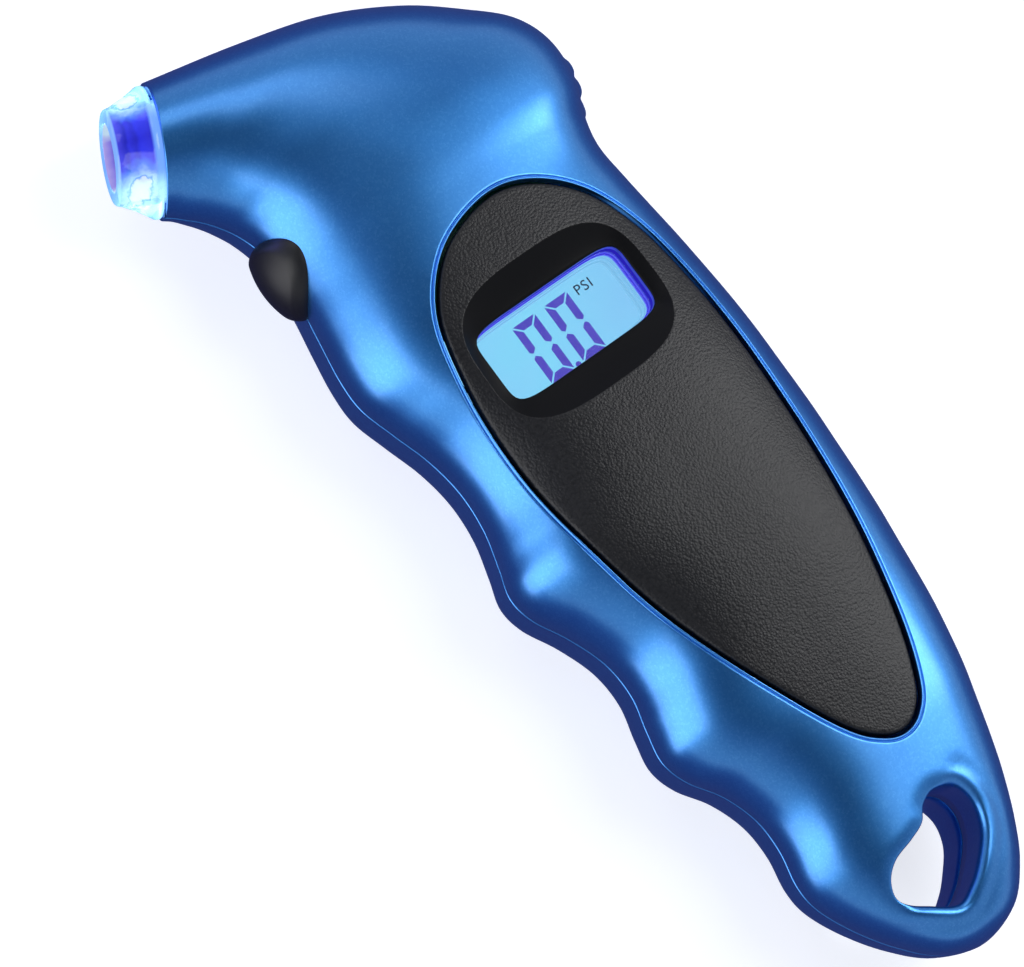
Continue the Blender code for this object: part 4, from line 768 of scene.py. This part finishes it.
def ring_grid(name, rings, closed=False, caps=(False, False)):
    """A piece whose rings of points match one to one: quads between neighbours, the last ring
    joined to the first if closed is set, and the end rings filled from their middles."""
    rings = np.asarray(rings)
    count, length = rings.shape[:2]
    i, j = (g.ravel() for g in np.meshgrid(np.arange(count if closed else count - 1),
                                           np.arange(length), indexing="ij"))
    k = (j + 1) % length
    n = (i + 1) % count
    faces = np.column_stack([i * length + j, i * length + k, n * length + k,
                             n * length + j]).tolist()
    points = rings.reshape(-1, 3)
    j = np.arange(length)
    for row, wanted in zip((0, count - 1), caps):
        if wanted:
            faces += np.column_stack([row * length + j, row * length + (j + 1) % length,
                                      np.full(length, len(points))]).tolist()
            points = np.vstack([points, rings[row].mean(axis=0)])
    return build_mesh(name, placed(points), faces, merge=0.002)


def plates(name, outlines, low, high):
    """Flat plates of any outlines between two heights, in one piece."""
    points = np.empty((0, 3))
    faces = []
    for outline in outlines:
        n = len(outline)
        j = len(points) + np.arange(n)
        k = np.roll(j, -1)
        points = np.vstack([points] + [np.column_stack([outline, np.full(n, z)])
                                       for z in (low, high)])
        faces += [j.tolist(), (j + n).tolist()]
        faces += np.column_stack([j, k, k + n, j + n]).tolist()
    made = build_mesh(name, placed(points), faces, merge=0.002)
    made.data.shade_flat()
    return made


def zero_segments(left):
    """Outlines of the six lit segments of a 0: mitred at the corners, pointed half-way up."""
    width, height = DIGIT_SIZE
    right = left + width
    top = DIGIT_BOTTOM + height
    middle = DIGIT_BOTTOM + height / 2
    t = STROKE
    g = GAP
    upper = [(left, top - g), (left + t, top - t - g), (left + t, middle + t / 2 + g),
             (left + t * 0.4, middle + g), (left, middle + t / 2)]
    bar = [(left + g, top), (right - g, top), (right - t - g, top - t), (left + t + g, top - t)]
    mirror_x = [(left + right - x, y) for x, y in upper]
    turned_over = [[(x, 2 * middle - y) for x, y in shape] for shape in (upper, mirror_x, bar)]
    return [upper, mirror_x, bar, *turned_over]


def backlit_abs():
    """White ABS that carries the backlight up its walls: sky blue deep down, then violet in
    bands at its steps, uneven over 3 mm."""
    made, tree, coords = new_material("backlit_white_abs")
    low, high = (float(placed((0, 0, z))[2]) for z in (GUIDE_BOTTOM, GUIDE_TOP))
    height = add(tree, "MapRange", {
        "Value": add(tree, "SeparateXYZ", {"Vector": coords}, out="Z"),
        "From Min": low, "From Max": high})
    cloud = add(tree, "TexNoise", {"Vector": coords, "Scale": 1 / (3 * MM)})
    mixed = add(tree, "Math", {0: cloud, 1: 0.04, 2: height}, operation="MULTIPLY_ADD")
    return finish(
        made, Base_Color=linear("#08083a"), Roughness=0.35, Specular_IOR_Level=0.15,
        Emission_Strength=0.9, Emission_Color=add(tree, "ValToRGB", {"Fac": mixed}, stops=[
            (0.0, "#86cdf6"), (0.62, "#80c8f6"), (0.68, "#5b57ff"), (0.8, "#3a30e6"),
            (0.86, "#6a66ff"), (0.92, "#3a30e6"), (1.0, "#2c24c0")]))


def lcd_light():
    """The liquid-crystal cell over its backlight, under a satin polariser film: pale sky
    blue that changes a little from left to right, uneven over 7 mm."""
    made, tree, coords = new_material("lit_lcd_film")
    centre = float(placed((*DISPLAY_CENTRE, 0))[0])
    share = add(tree, "MapRange", {
        "Value": add(tree, "SeparateXYZ", {"Vector": coords}, out="X"),
        "From Min": centre - LIT_REACH * MM, "From Max": centre + LIT_REACH * MM,
        "To Min": 0.1, "To Max": 0.8})
    cloud = add(tree, "TexNoise", {"Vector": coords, "Scale": 1 / (7 * MM), "Detail": 1.0})
    mixed = add(tree, "Math", {0: cloud, 1: 0.3, 2: share}, operation="MULTIPLY_ADD")
    return finish(
        made, Base_Color=linear("#081826"), Roughness=0.4, Specular_IOR_Level=0.1,
        Emission_Strength=1.08, Emission_Color=add(tree, "ValToRGB", {"Fac": mixed}, stops=[
            (0.1, "#86c8f6"), (0.5, "#7fd4f6"), (1.0, "#84c6f4")]))


inner = []
for height, inset in GUIDE_STEPS:
    outline = grown(superellipse(*WINDOW, GUIDE_COUNT), -inset)
    inner.append(np.column_stack([outline, np.full(len(outline), height)]))
outer = grown(superellipse(*WINDOW, GUIDE_COUNT), GUIDE_WALL)
for height in (GUIDE_BOTTOM, GUIDE_TOP):
    inner.append(np.column_stack([outer, np.full(len(outer), height)]))
guide = ring_grid("display_light_guide", inner, closed=True)
guide.data.shade_flat()
bevel = guide.modifiers.new("soft_edges", "BEVEL")
bevel.width = 0.05 * MM
bevel.segments = 2
bevel.limit_method = "ANGLE"
bevel.angle_limit = math.radians(35)
bevel.harden_normals = True
guide.data.materials.append(backlit_abs())

cell_rings = []
for height, inset in CELL_STEPS:
    outline = grown(superellipse(*CELL_SHAPE), -inset)
    cell_rings.append(np.column_stack([outline, np.full(len(outline), height)]))
cell = ring_grid("lcd_cell", cell_rings, caps=(True, True))
cell.data.shade_flat()
cell.data.materials.append(lcd_light())

shapes = [shape for left in DIGIT_LEFT for shape in zero_segments(left)]
shapes.append(circle(DOT[:2], DOT[2], 24))
digits = plates("lcd_digits", shapes, CELL_TOP + 0.02, CELL_TOP + 0.05)
# driven liquid crystal lets the backlight through as violet, uneven over 1.2 mm
digits.data.materials.append(speckled(
    "driven_liquid_crystal", 1.2, [(0.2, "#4f46c4"), (0.8, "#5a52d4")], to="Emission_Color",
    Emission_Strength=0.9, Base_Color=linear("#0a0820"), Roughness=0.5,
    Specular_IOR_Level=0.1))

letters = bpy.data.curves.new("lcd_unit", "FONT")
letters.body = "PSI"
letters.size = UNIT_SIZE
letters.space_character = 1.15
letters.extrude = 0.015
holder = bpy.data.objects.new("lcd_unit_text", letters)
bpy.context.scene.collection.objects.link(holder)
bpy.context.view_layer.update()
unit_mesh = bpy.data.meshes.new_from_object(holder.evaluated_get(
    bpy.context.evaluated_depsgraph_get()))
bpy.data.objects.remove(holder)
unit_place = placed((*UNIT_PLACE, CELL_TOP + 0.035))
unit_mesh.transform(Matrix.Translation(unit_place) @ Matrix.Scale(MM, 4))
unit = bpy.data.objects.new("lcd_unit", unit_mesh)
bpy.context.scene.collection.objects.link(unit)
unit_mesh.materials.clear()
# the unit's crystal is driven almost black, specked over 0.5 mm
unit_mesh.materials.append(speckled(
    "dark_liquid_crystal", 0.5, [(0.2, "#15163a"), (0.8, "#22244e")], to="Emission_Color",
    Emission_Strength=0.6, Base_Color=linear("#0c0d22"), Roughness=0.5,
    Specular_IOR_Level=0.1))
for piece, slot in ((guide, "white_abs"), (cell, "lcd_glass"), (digits, "lcd_glass"),
                    (unit, "lcd_glass")):
    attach(piece, "casing")
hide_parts("display_shroud")
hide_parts("lcd_glass")
# thin polished polycarbonate passes almost all light; faint wiping marks vary its gloss
CLEAR_LENS = speckled("polished_clear_polycarbonate", 2.5, rough=(0.04, 0.16), detail=3.0,
                      Base_Color=linear("#101318"), Alpha=0.05)
CLEAR_LENS.blend_method = "BLEND"


# ---- button --------------------------------------------------------------------------------
# The press button is a solid soft-touch rubber egg that stands out of the crook. It slides
# straight in against its switch, so it rides on its own body.
DOME_CENTRE = -22.0
DOME_RADII = (10.6, 12.0, 10.5)
BUTTON_BACK = -23.4
BUTTON_EDGE = 1.4                # radius between its dome and its side


def make_button():
    """Rings that shrink the outline to its middle; each point's X is on a stretched sphere,
    and the dome falls away round its edge as a rounded corner."""
    outline = closed_curve(BUTTON_OUTLINE, 6)
    reach = np.linalg.norm(outline - BUTTON_CENTRE, axis=1)
    rings = []
    for share in np.concatenate([np.linspace(0.02, 0.8, 22), np.linspace(0.82, 1.0, 16)]):
        y, z = (BUTTON_CENTRE + share * (outline - BUTTON_CENTRE)).T
        bulge = 1 - ((y - BUTTON_CENTRE[0]) / DOME_RADII[1]) ** 2 - (z / DOME_RADII[2]) ** 2
        x = DOME_CENTRE - DOME_RADII[0] * np.sqrt(np.maximum(bulge, 0))
        x += rounded((1 - share) * reach, BUTTON_EDGE)
        rings.append(np.column_stack([x, y, z]))
    rim = rings[-1]
    for f in (0.2, 0.6, 1.0):
        side = rim.copy()
        side[:, 0] += f * (BUTTON_BACK - side[:, 0])
        rings.append(side)
    return ring_grid("button_egg", rings, caps=(True, True))


button = make_button()
# silicone rubber from a blasted mould: matt, with a trace of dust in pores drawn at 0.3 mm
RUBBER = speckled("soft_touch_black_rubber", 0.3, [(0.35, "#0a0a0b"), (0.75, "#111112")],
                  rough=(0.38, 0.5), bump=(0.1, 0.03), detail=3.0, Specular_IOR_Level=0.5)
button.data.materials.append(RUBBER)
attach(button, "button")
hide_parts("power_button")


# ---- chuck ---------------------------------------------------------------------------------
# The valve chuck is clear polycarbonate, turned-looking but moulded, held by its collar in the
# casing's round end. Two lamps behind the collar send white light up its walls, and its
# socket glows blue-violet. A rubber seal and a brass pin stand in the socket.
CLEAR_PROFILE = [
    (5.15, 6.30), (5.7, 6.30), (6.3, 6.29), (6.6, 6.2), (6.8, 6.0), (6.9, 5.7), (7.05, 5.2),
    (7.5, 4.3), (8.1, 3.1), (8.7, 2.1), (9.15, 1.45), (9.35, 1.15), (9.4, 0.95), (9.4, 0.45),
    (9.3, 0.32), (7.3, 0.3), (7.2, 0.2), (7.2, -8.9), (7.0, -9.0), (3.4, -9.0), (3.3, -9.2),
    (3.3, -15.4), (3.2, -15.5), (1.2, -15.5), (1.2, -4.5), (4.6, -4.5), (4.6, -1.5),
    (4.6, 2.6), (4.75, 2.9), (4.75, 5.75), (4.85, 6.1), (4.98, 6.25),
]
LAMP_SPOT = (6.4, 3.4)           # where a lamp shows in the wall: across and out
BORE_REACH = 4.9
BORE_SPAN = (-4.7, 6.0)
SEAL_PROFILE = [(2.3, -1.65), (2.9, -1.6), (3.9, -1.6), (4.2, -1.7), (4.3, -1.95), (4.3, -4.0),
                (4.15, -4.2), (2.4, -4.2), (2.2, -4.0), (2.2, -1.8)]
PIN_PROFILE = [(0.02, 1.2), (0.35, 1.19), (0.55, 1.12), (0.62, 1.0), (0.88, 0.75), (0.9, 0.6),
               (0.9, -8.9), (0.8, -9.0), (0.02, -9.0)]


def turned(name, profile, count, closed=True):
    """A profile of (radius, way out) carried round the chuck's axis: centre + out * axis +
    radius * (cos across the plan, sin up)."""
    turn = np.linspace(0, 2 * math.pi, count, endpoint=False)
    rings = []
    for radius, out in profile:
        flat = CHUCK_CENTRE + out * CHUCK_AXIS + np.outer(radius * np.cos(turn), CHUCK_ACROSS)
        rings.append(np.column_stack([flat, radius * np.sin(turn)]))
    return ring_grid(name, rings, closed=closed, caps=(not closed, not closed))


def chuck_coords(tree, coords):
    """Object coordinates turned to the chuck: how far across it, without sign, and how far
    out along it, in mm."""
    spot = add(tree, "VectorMath", {0: coords, 1: placed((*CHUCK_CENTRE, 0))},
               operation="SUBTRACT")
    across, out = (add(tree, "VectorMath", {0: spot, 1: (*(way / MM), 0)}, out="Value",
                       operation="DOT_PRODUCT") for way in (CHUCK_ACROSS, CHUCK_AXIS))
    return add(tree, "Math", {0: across}, operation="ABSOLUTE"), out


def lit_polycarbonate():
    """Clear polycarbonate that pipes the lamps' light. Each lamp shows as a round white spot
    with a dark refracted ring, and fades to blue-violet away from it; the front and back
    edges of the cone catch a pale line. Flow marks from moulding are 1.2 mm apart. Its base
    colour is painted light too: blue-violet near the axis, turning pale towards the rim."""
    made, tree, coords = new_material("clear_moulded_polycarbonate")
    across, out = chuck_coords(tree, coords)
    flow = add(tree, "TexNoise", {"Vector": coords, "Scale": 1 / (1.2 * MM)})
    side, ahead = (add(tree, "Math", {0: way, 1: spot}, operation="SUBTRACT")
                   for way, spot in zip((across, out), LAMP_SPOT))
    far = add(tree, "VectorMath", {0: add(tree, "CombineXYZ", {"X": side, "Y": ahead})},
              out="Value", operation="LENGTH")
    bent = add(tree, "Math", {0: flow, 1: 1.6, 2: far}, operation="MULTIPLY_ADD")
    spot = add(tree, "ValToRGB", {
        "Fac": add(tree, "MapRange", {"Value": bent, "From Min": 0.8, "From Max": 8.8})},
        stops=[(0.0, "#ffffff"), (0.14, "#f0fcff"), (0.18, "#3f8fc8"), (0.22, "#b8ecff"),
               (0.34, "#4a90d0"), (0.48, "#2028a0"), (0.8, "#0c0a50")])
    front = add(tree, "MapRange", {"Value": out, "From Min": 5.75, "From Max": 6.0})
    rear = add(tree, "MapRange", {"Value": out, "From Min": 0.95, "From Max": 1.4,
                                  "To Min": 1, "To Max": 0})
    edge = add(tree, "Math", {0: front, 1: rear}, operation="MAXIMUM")
    reach = add(tree, "MapRange", {"Value": across, "From Min": 0, "From Max": 9.0})
    return finish(
        made, IOR=1.45, Transmission_Weight=0.85, Specular_IOR_Level=0.5,
        Emission_Strength=0.6,
        Emission_Color=add(tree, "MixRGB", {"Fac": edge, "Color1": spot,
                                            "Color2": linear("#8fd0f0")}),
        # painted light: the clear plastic's base colour runs from blue-violet at the axis to pale
        # at the rim
        Base_Color=add(tree, "ValToRGB", {"Fac": reach}, stops=[
            (0.0, "#3a40d8"), (0.5, "#5a68e8"), (0.7, "#a8dcf8"), (1.0, "#dcf6ff")]),
        Roughness=add(tree, "MapRange", {"Value": flow, "To Min": 0.02, "To Max": 0.09}),
        Normal=add(tree, "Bump", {"Height": flow, "Strength": 0.15, "Distance": 0.1 * MM}))


def lit_socket():
    """The socket's wall, where the light comes out blue-violet: bands along its depth, a
    lavender mouth, and white near the lamps, in patches 1.6 mm wide."""
    made, tree, coords = new_material("glowing_socket_wall")
    across, out = chuck_coords(tree, coords)
    patches = add(tree, "TexNoise", {"Vector": coords, "Scale": 1 / (1.6 * MM),
                                     "Detail": 1.0})
    depth = add(tree, "Math", {0: patches, 1: 0.9, 2: out}, operation="MULTIPLY_ADD")
    bands = add(tree, "ValToRGB", {
        "Fac": add(tree, "MapRange", {"Value": depth, "From Min": -2.0, "From Max": 7.0})},
        stops=[(0.0, "#2a22b0"), (0.3, "#4440e8"), (0.48, "#4a4cfb"), (0.56, "#362cc4"),
               (0.66, "#5a54ee"), (0.72, "#3228b4"), (0.82, "#8f84ee"), (0.94, "#b9aef6")])
    wide = add(tree, "Math", {0: patches, 1: 1.5, 2: across}, operation="MULTIPLY_ADD")
    near = add(tree, "MapRange", {"Value": wide, "From Min": 3.9, "From Max": 5.2})
    return finish(
        made, Base_Color=linear("#0c0a50"), Roughness=0.2, Specular_IOR_Level=0.3,
        Emission_Strength=0.75,
        Emission_Color=add(tree, "MixRGB", {"Fac": near, "Color1": bands,
                                            "Color2": linear("#d4f2ff")}))


chuck = turned("valve_chuck", CLEAR_PROFILE, 96)
centres = np.array([p.center for p in chuck.data.polygons])
off = (centres - placed((*CHUCK_CENTRE, 0))) / MM
out = off[:, :2] @ CHUCK_AXIS
radius = np.hypot(off[:, :2] @ CHUCK_ACROSS, off[:, 2])
bore = (radius < BORE_REACH) & (out > BORE_SPAN[0]) & (out < BORE_SPAN[1])
chuck.data.materials.append(lit_polycarbonate())
chuck.data.materials.append(lit_socket())
chuck.data.polygons.foreach_set("material_index", bore.astype(int))
seal = turned("socket_seal", SEAL_PROFILE, 64)
seal.data.materials.append(RUBBER)
pin = turned("valve_pin", PIN_PROFILE, 40, closed=False)
# brass drawn to wire and turned: warm, its gloss worn unevenly over 0.4 mm
BRASS = speckled("drawn_brass", 0.4, [(0.3, "#c8a050"), (0.7, "#dcb868")],
                 rough=(0.22, 0.4), detail=4.0, Metallic=1.0)
pin.data.materials.append(BRASS)
for piece, node_name, slot in ((chuck, "nozzle_body", "clear_polycarbonate"),
                               (seal, "nozzle_seal", "soft_touch_rubber"),
                               (pin, "depressor_pin", "brass")):
    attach(piece, "casing")
    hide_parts(node_name)


# ---- battery cover -------------------------------------------------------------------------
# A black ABS plate closes the battery bay in the back. One small screw holds it; five thumb
# grooves are moulded into its face, and the gauge rests on it.
COVER_BACK = -15.8
COVER_SCREW = (-3.2, -38.8)
SINK_RADIUS = 2.0
SINK_COUNT = 48                  # points round the sink
COVER_WALL = 1.1
GROOVES = [14.6 - 1.5 * k for k in range(5)]


def make_cover():
    """A plan grid joined to rings at its edge and round the screw's sink. The face is level
    but for a rounded edge and the grooves, each a bell 0.35 mm deep, faded at its ends."""
    edge = grown(closed_curve(COVER_OUTLINE, 14), -0.3)
    rings = []
    heights = []
    for inset in (0, 0.05, 0.15, 0.3, 0.5, 0.9):
        loop = grown(edge, -inset)
        rings.append((loop, True))
        heights.append(rounded(np.full(len(loop), inset), 0.5))
    for ring in (0.6, 0.25, 0.12, 0.04, 0.0):
        rings.append((circle(COVER_SCREW, SINK_RADIUS + ring, SINK_COUNT), True))
        heights.append(rounded(np.full(SINK_COUNT, ring), 0.25))
    xs = np.arange(-19, 13, 0.7)
    ys = np.concatenate([np.arange(-43, 7, 0.9), np.arange(7, 16, 0.16), np.arange(16, 22, 0.9)])
    x, y = np.meshgrid(xs, ys)
    loose = np.column_stack([x.ravel(), y.ravel()])
    far = np.linalg.norm(loose - COVER_SCREW, axis=1) > SINK_RADIUS + 0.9
    loose = loose[inside(loose, grown(edge, -1.3)) & far]
    flat, faces, source = join_chart(loose, rings, [rings[-1][0]])
    faces = faces[inside(flat[faces].mean(axis=1), edge)]
    fall = np.zeros(len(flat))
    fall[source] = np.concatenate([np.zeros(len(loose)), *heights])
    ends = np.clip((6.5 - np.abs(flat[:, 0] + 3.2)) / 1.2, 0, 1)
    for place in GROOVES:
        fall += 0.35 * dip(flat[:, 1], place, 0.42) * ends
    points = np.column_stack([flat, COVER_BACK + fall])
    starts = np.cumsum([len(loose)] + [len(loop) for loop, _ in rings])
    for start, count, depths in ((starts[0], len(edge), (0.4, 0.9)),
                                 (starts[len(rings) - 1], SINK_COUNT, (0.3, 0.9))):
        rim = source[start:start + count]
        levels = [points[rim] + np.array([0, 0, depth]) for depth in depths]
        points, faces = hang_wall(points, faces, rim, levels)
    cover = build_mesh("rear_cover", placed(points), faces, outward=(0, 0, -1))
    return thicken(cover, COVER_WALL)


cover = make_cover()
cover.data.materials.append(GRAINED)
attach(cover, "casing")
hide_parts("battery_cover")


# ---- screws in the back --------------------------------------------------------------------
# Nickel-plated pan-head screws with a cross recess: five long ones deep in the casing's
# ways, and a small one in the battery cover.
SHELL_SCREW = {"head": 2.4, "thick": 1.8, "shank": 1.2, "face": -9.0, "length": 15.0}
HEAD_COUNT = 96                  # points round a screw
COVER_FIX = {"head": 1.7, "thick": 0.8, "shank": 0.8, "face": -14.9, "length": 7.0}


def make_screw(name, place, head, thick, shank, face, length):
    """A turned outline round Z, the head domed by a quarter of its thickness; the cross is
    pressed in where a point lies near either axis: its depth fades from centre to rim."""
    turn = np.linspace(0, 2 * math.pi, HEAD_COUNT, endpoint=False)
    outline = [(share * head, face - thick * (1 - 0.28 * share ** 2))
               for share in np.linspace(0.02, 0.86, 20)]
    outline += [(0.93 * head, face - thick * 0.7), (0.98 * head, face - thick * 0.6),
                (head, face - thick * 0.45), (head, face - 0.05), (0.98 * head, face),
                (shank, face)]
    for k in range(int((length - 1.5) / 0.5)):
        depth = face + 0.5 * (k + 0.5)
        outline += [(shank, depth - 0.2), (shank - 0.16, depth), (shank, depth + 0.2)]
    outline += [(shank * 0.9, face + length - 1.0), (0.02, face + length)]
    rings = []
    for radius, z in outline:
        x = radius * np.cos(turn)
        y = radius * np.sin(turn)
        heights = np.full(HEAD_COUNT, z)
        if z < face - thick * 0.65:
            slot = np.minimum(np.abs(x), np.abs(y)) / (0.16 * head)
            arm = np.clip((0.62 - radius / head) / 0.12, 0, 1)
            heights = heights + np.clip(1.6 - slot, 0, 1) * arm * thick * 0.5
        rings.append(np.column_stack([x + place[0], y + place[1], heights]))
    return ring_grid(name, rings, caps=(True, True))


# nickel over steel: a bright, slightly yellow mirror, dulled by turning marks drawn at 0.15 mm
NICKEL = speckled("nickel_plated_steel", 0.15, [(0.25, "#8c8a86"), (0.6, "#b9b6b0")],
                  rough=(0.2, 0.42), bump=(0.08, 0.02), detail=3.0, Metallic=1.0)
screws = [make_screw(f"back_screw_{i}", place, **SHELL_SCREW)
          for i, place in enumerate(SHELL_SCREWS, 1)]
screws.append(make_screw("cover_fixing", COVER_SCREW, **COVER_FIX))
replaced = [f"shell_screw_{i}" for i in range(1, 6)] + ["cover_screw"]
for piece, node_name in zip(screws, replaced):
    piece.data.materials.append(NICKEL)
    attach(piece, "casing")
    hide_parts(node_name)


# ---- what the casing holds -----------------------------------------------------------------
# Board, switch, sensor, cells and their contacts keep their CAD shapes. Each takes the finish
# of its real stuff: solder mask on glass fibre, moulded epoxy, white ABS, silicone.
FINISHES = {
    "plated_steel": NICKEL,
    "brass": BRASS,
    "soft_touch_rubber": RUBBER,
    "clear_polycarbonate": CLEAR_LENS,
    "grained_black_abs": GRAINED,
    "metallic_blue_paint": LACQUER,
    "lcd_glass": cell.data.materials[0],
}
for slot, name, dark, light, size, rough in (
        ("white_abs", "moulded_white_abs", "#d9dce2", "#e6e8ec", 0.4, (0.35, 0.5)),
        ("green_circuit_board", "solder_mask_on_glass_fibre", "#0c4a24", "#12602f", 0.5,
         (0.25, 0.4)),
        ("grey_silicone", "moulded_grey_silicone", "#5c5d60", "#707174", 0.3, (0.5, 0.65)),
        ("black_epoxy", "moulded_black_epoxy", "#131314", "#202022", 0.2, (0.4, 0.55))):
    FINISHES[slot] = speckled(name, size, [(0.3, dark), (0.7, light)], rough=rough,
                              bump=(0.08, 0.03), detail=3.0)
slots = {part["node"]: part["material_slot"] for part in frame["record"]["subparts"]}
for node_name, part in frame["nodes"].items():
    part.data.materials.clear()
    part.data.materials.append(FINISHES[slots[node_name]])
# the two lamps in the chuck are clear epoxy, lit from within
LAMP = speckled("lit_led_epoxy", 0.5, [(0.2, "#c8e4ff"), (0.8, "#f2faff")],
                to="Emission_Color", Emission_Strength=2.5, Roughness=0.2)
for node_name in ("nozzle_led_1", "nozzle_led_2"):
    frame["nodes"][node_name].data.materials[0] = LAMP


# ---- studio --------------------------------------------------------------------------------
# A plain pale floor, two long softboxes at the sides and a dimmer one over the head, under a
# soft grey sky. The camera looks down at the face from the chuck's side.
CAMERA_PLACE = Vector((-0.1877, -0.0303, 0.6087))
CAMERA_TARGET = Vector((-0.01043, 0.00739, 0.0158))
CAMERA_ROLL = math.radians(35.3)
LENS = 156.0

back_dir = (CAMERA_PLACE - CAMERA_TARGET).normalized()
flat_x = Vector((1, 0, 0))
flat_x = (flat_x - flat_x.dot(back_dir) * back_dir).normalized()
flat_y = back_dir.cross(flat_x)
view_right = math.cos(CAMERA_ROLL) * flat_x - math.sin(CAMERA_ROLL) * flat_y
view_up = math.sin(CAMERA_ROLL) * flat_x + math.cos(CAMERA_ROLL) * flat_y
camera_data = bpy.data.cameras.new("camera")
camera_data.lens = LENS
camera_data.sensor_width = 36
camera = bpy.data.objects.new("camera", camera_data)
turn = Matrix((view_right, view_up, back_dir)).transposed()
camera.matrix_world = Matrix.Translation(CAMERA_PLACE) @ turn.to_4x4()
bpy.context.scene.collection.objects.link(camera)
bpy.context.scene.camera = camera

floor_mesh = bpy.data.meshes.new("floor")
FLOOR = 4.0
floor_mesh.from_pydata([(-FLOOR, -FLOOR, 0), (FLOOR, -FLOOR, 0), (FLOOR, FLOOR, 0),
                        (-FLOOR, FLOOR, 0)], [], [(0, 1, 2, 3)])
floor = bpy.data.objects.new("floor", floor_mesh)
bpy.context.scene.collection.objects.link(floor)
floor_paper, _, _ = new_material("matt_white_paper")
floor_mesh.materials.append(finish(
    floor_paper, Roughness=0.9, Base_Color=linear("#c8c9cb"), Specular_IOR_Level=0.1,
    Emission_Color=linear("#f4f5f7"), Emission_Strength=0.75))
floor.visible_glossy = False


def softbox(name, right, up, toward, size, power, colour="#ffffff"):
    """An area light placed by its share of the camera's right, up and back directions."""
    light = bpy.data.lights.new(name, "AREA")
    light.shape = "RECTANGLE"
    light.size, light.size_y = size
    light.energy = power
    light.color = linear(colour)[:3]
    box = bpy.data.objects.new(name, light)
    middle = Vector((0, 0, 0.01))
    place = middle + right * view_right + up * view_up + toward * back_dir
    turn = (place - middle).to_track_quat("Z", "Y").to_matrix().to_4x4()
    box.matrix_world = Matrix.Translation(place) @ turn
    bpy.context.scene.collection.objects.link(box)


softbox("left_box", -0.42, -0.22, 0.26, (0.3, 0.8), 1.75)
softbox("right_box", 0.42, 0.26, 0.34, (0.26, 0.6), 2.2)
softbox("head_box", -0.15, 0.45, 0.45, (0.4, 0.25), 0.45)
softbox("chuck_glow", -0.45, 0.25, 0.06, (0.2, 0.3), 0.8, "#6a6cff")

world = bpy.data.worlds.new("studio_sky")
world.use_nodes = True
bpy.context.scene.world = world
tree = world.node_tree
height = add(tree, "SeparateXYZ", {"Vector": add(tree, "TexCoord", out="Generated")},
             out="Z")
sky = add(tree, "ValToRGB", {"Fac": add(tree, "MapRange", {"Value": height, "From Min": -1,
                                                           "From Max": 1})},
          stops=[(0.0, "#3a3a70"), (0.455, "#5c5c94"), (0.505, "#e0e2ec"), (0.75, "#bcc2cc"),
                 (0.9, "#76809a"), (0.96, "#202a42"), (1.0, "#1a2238")])
fill(tree, tree.nodes["Background"], {"Color": sky, "Strength": 0.9})
bpy.context.scene.view_settings.view_transform = "Standard"
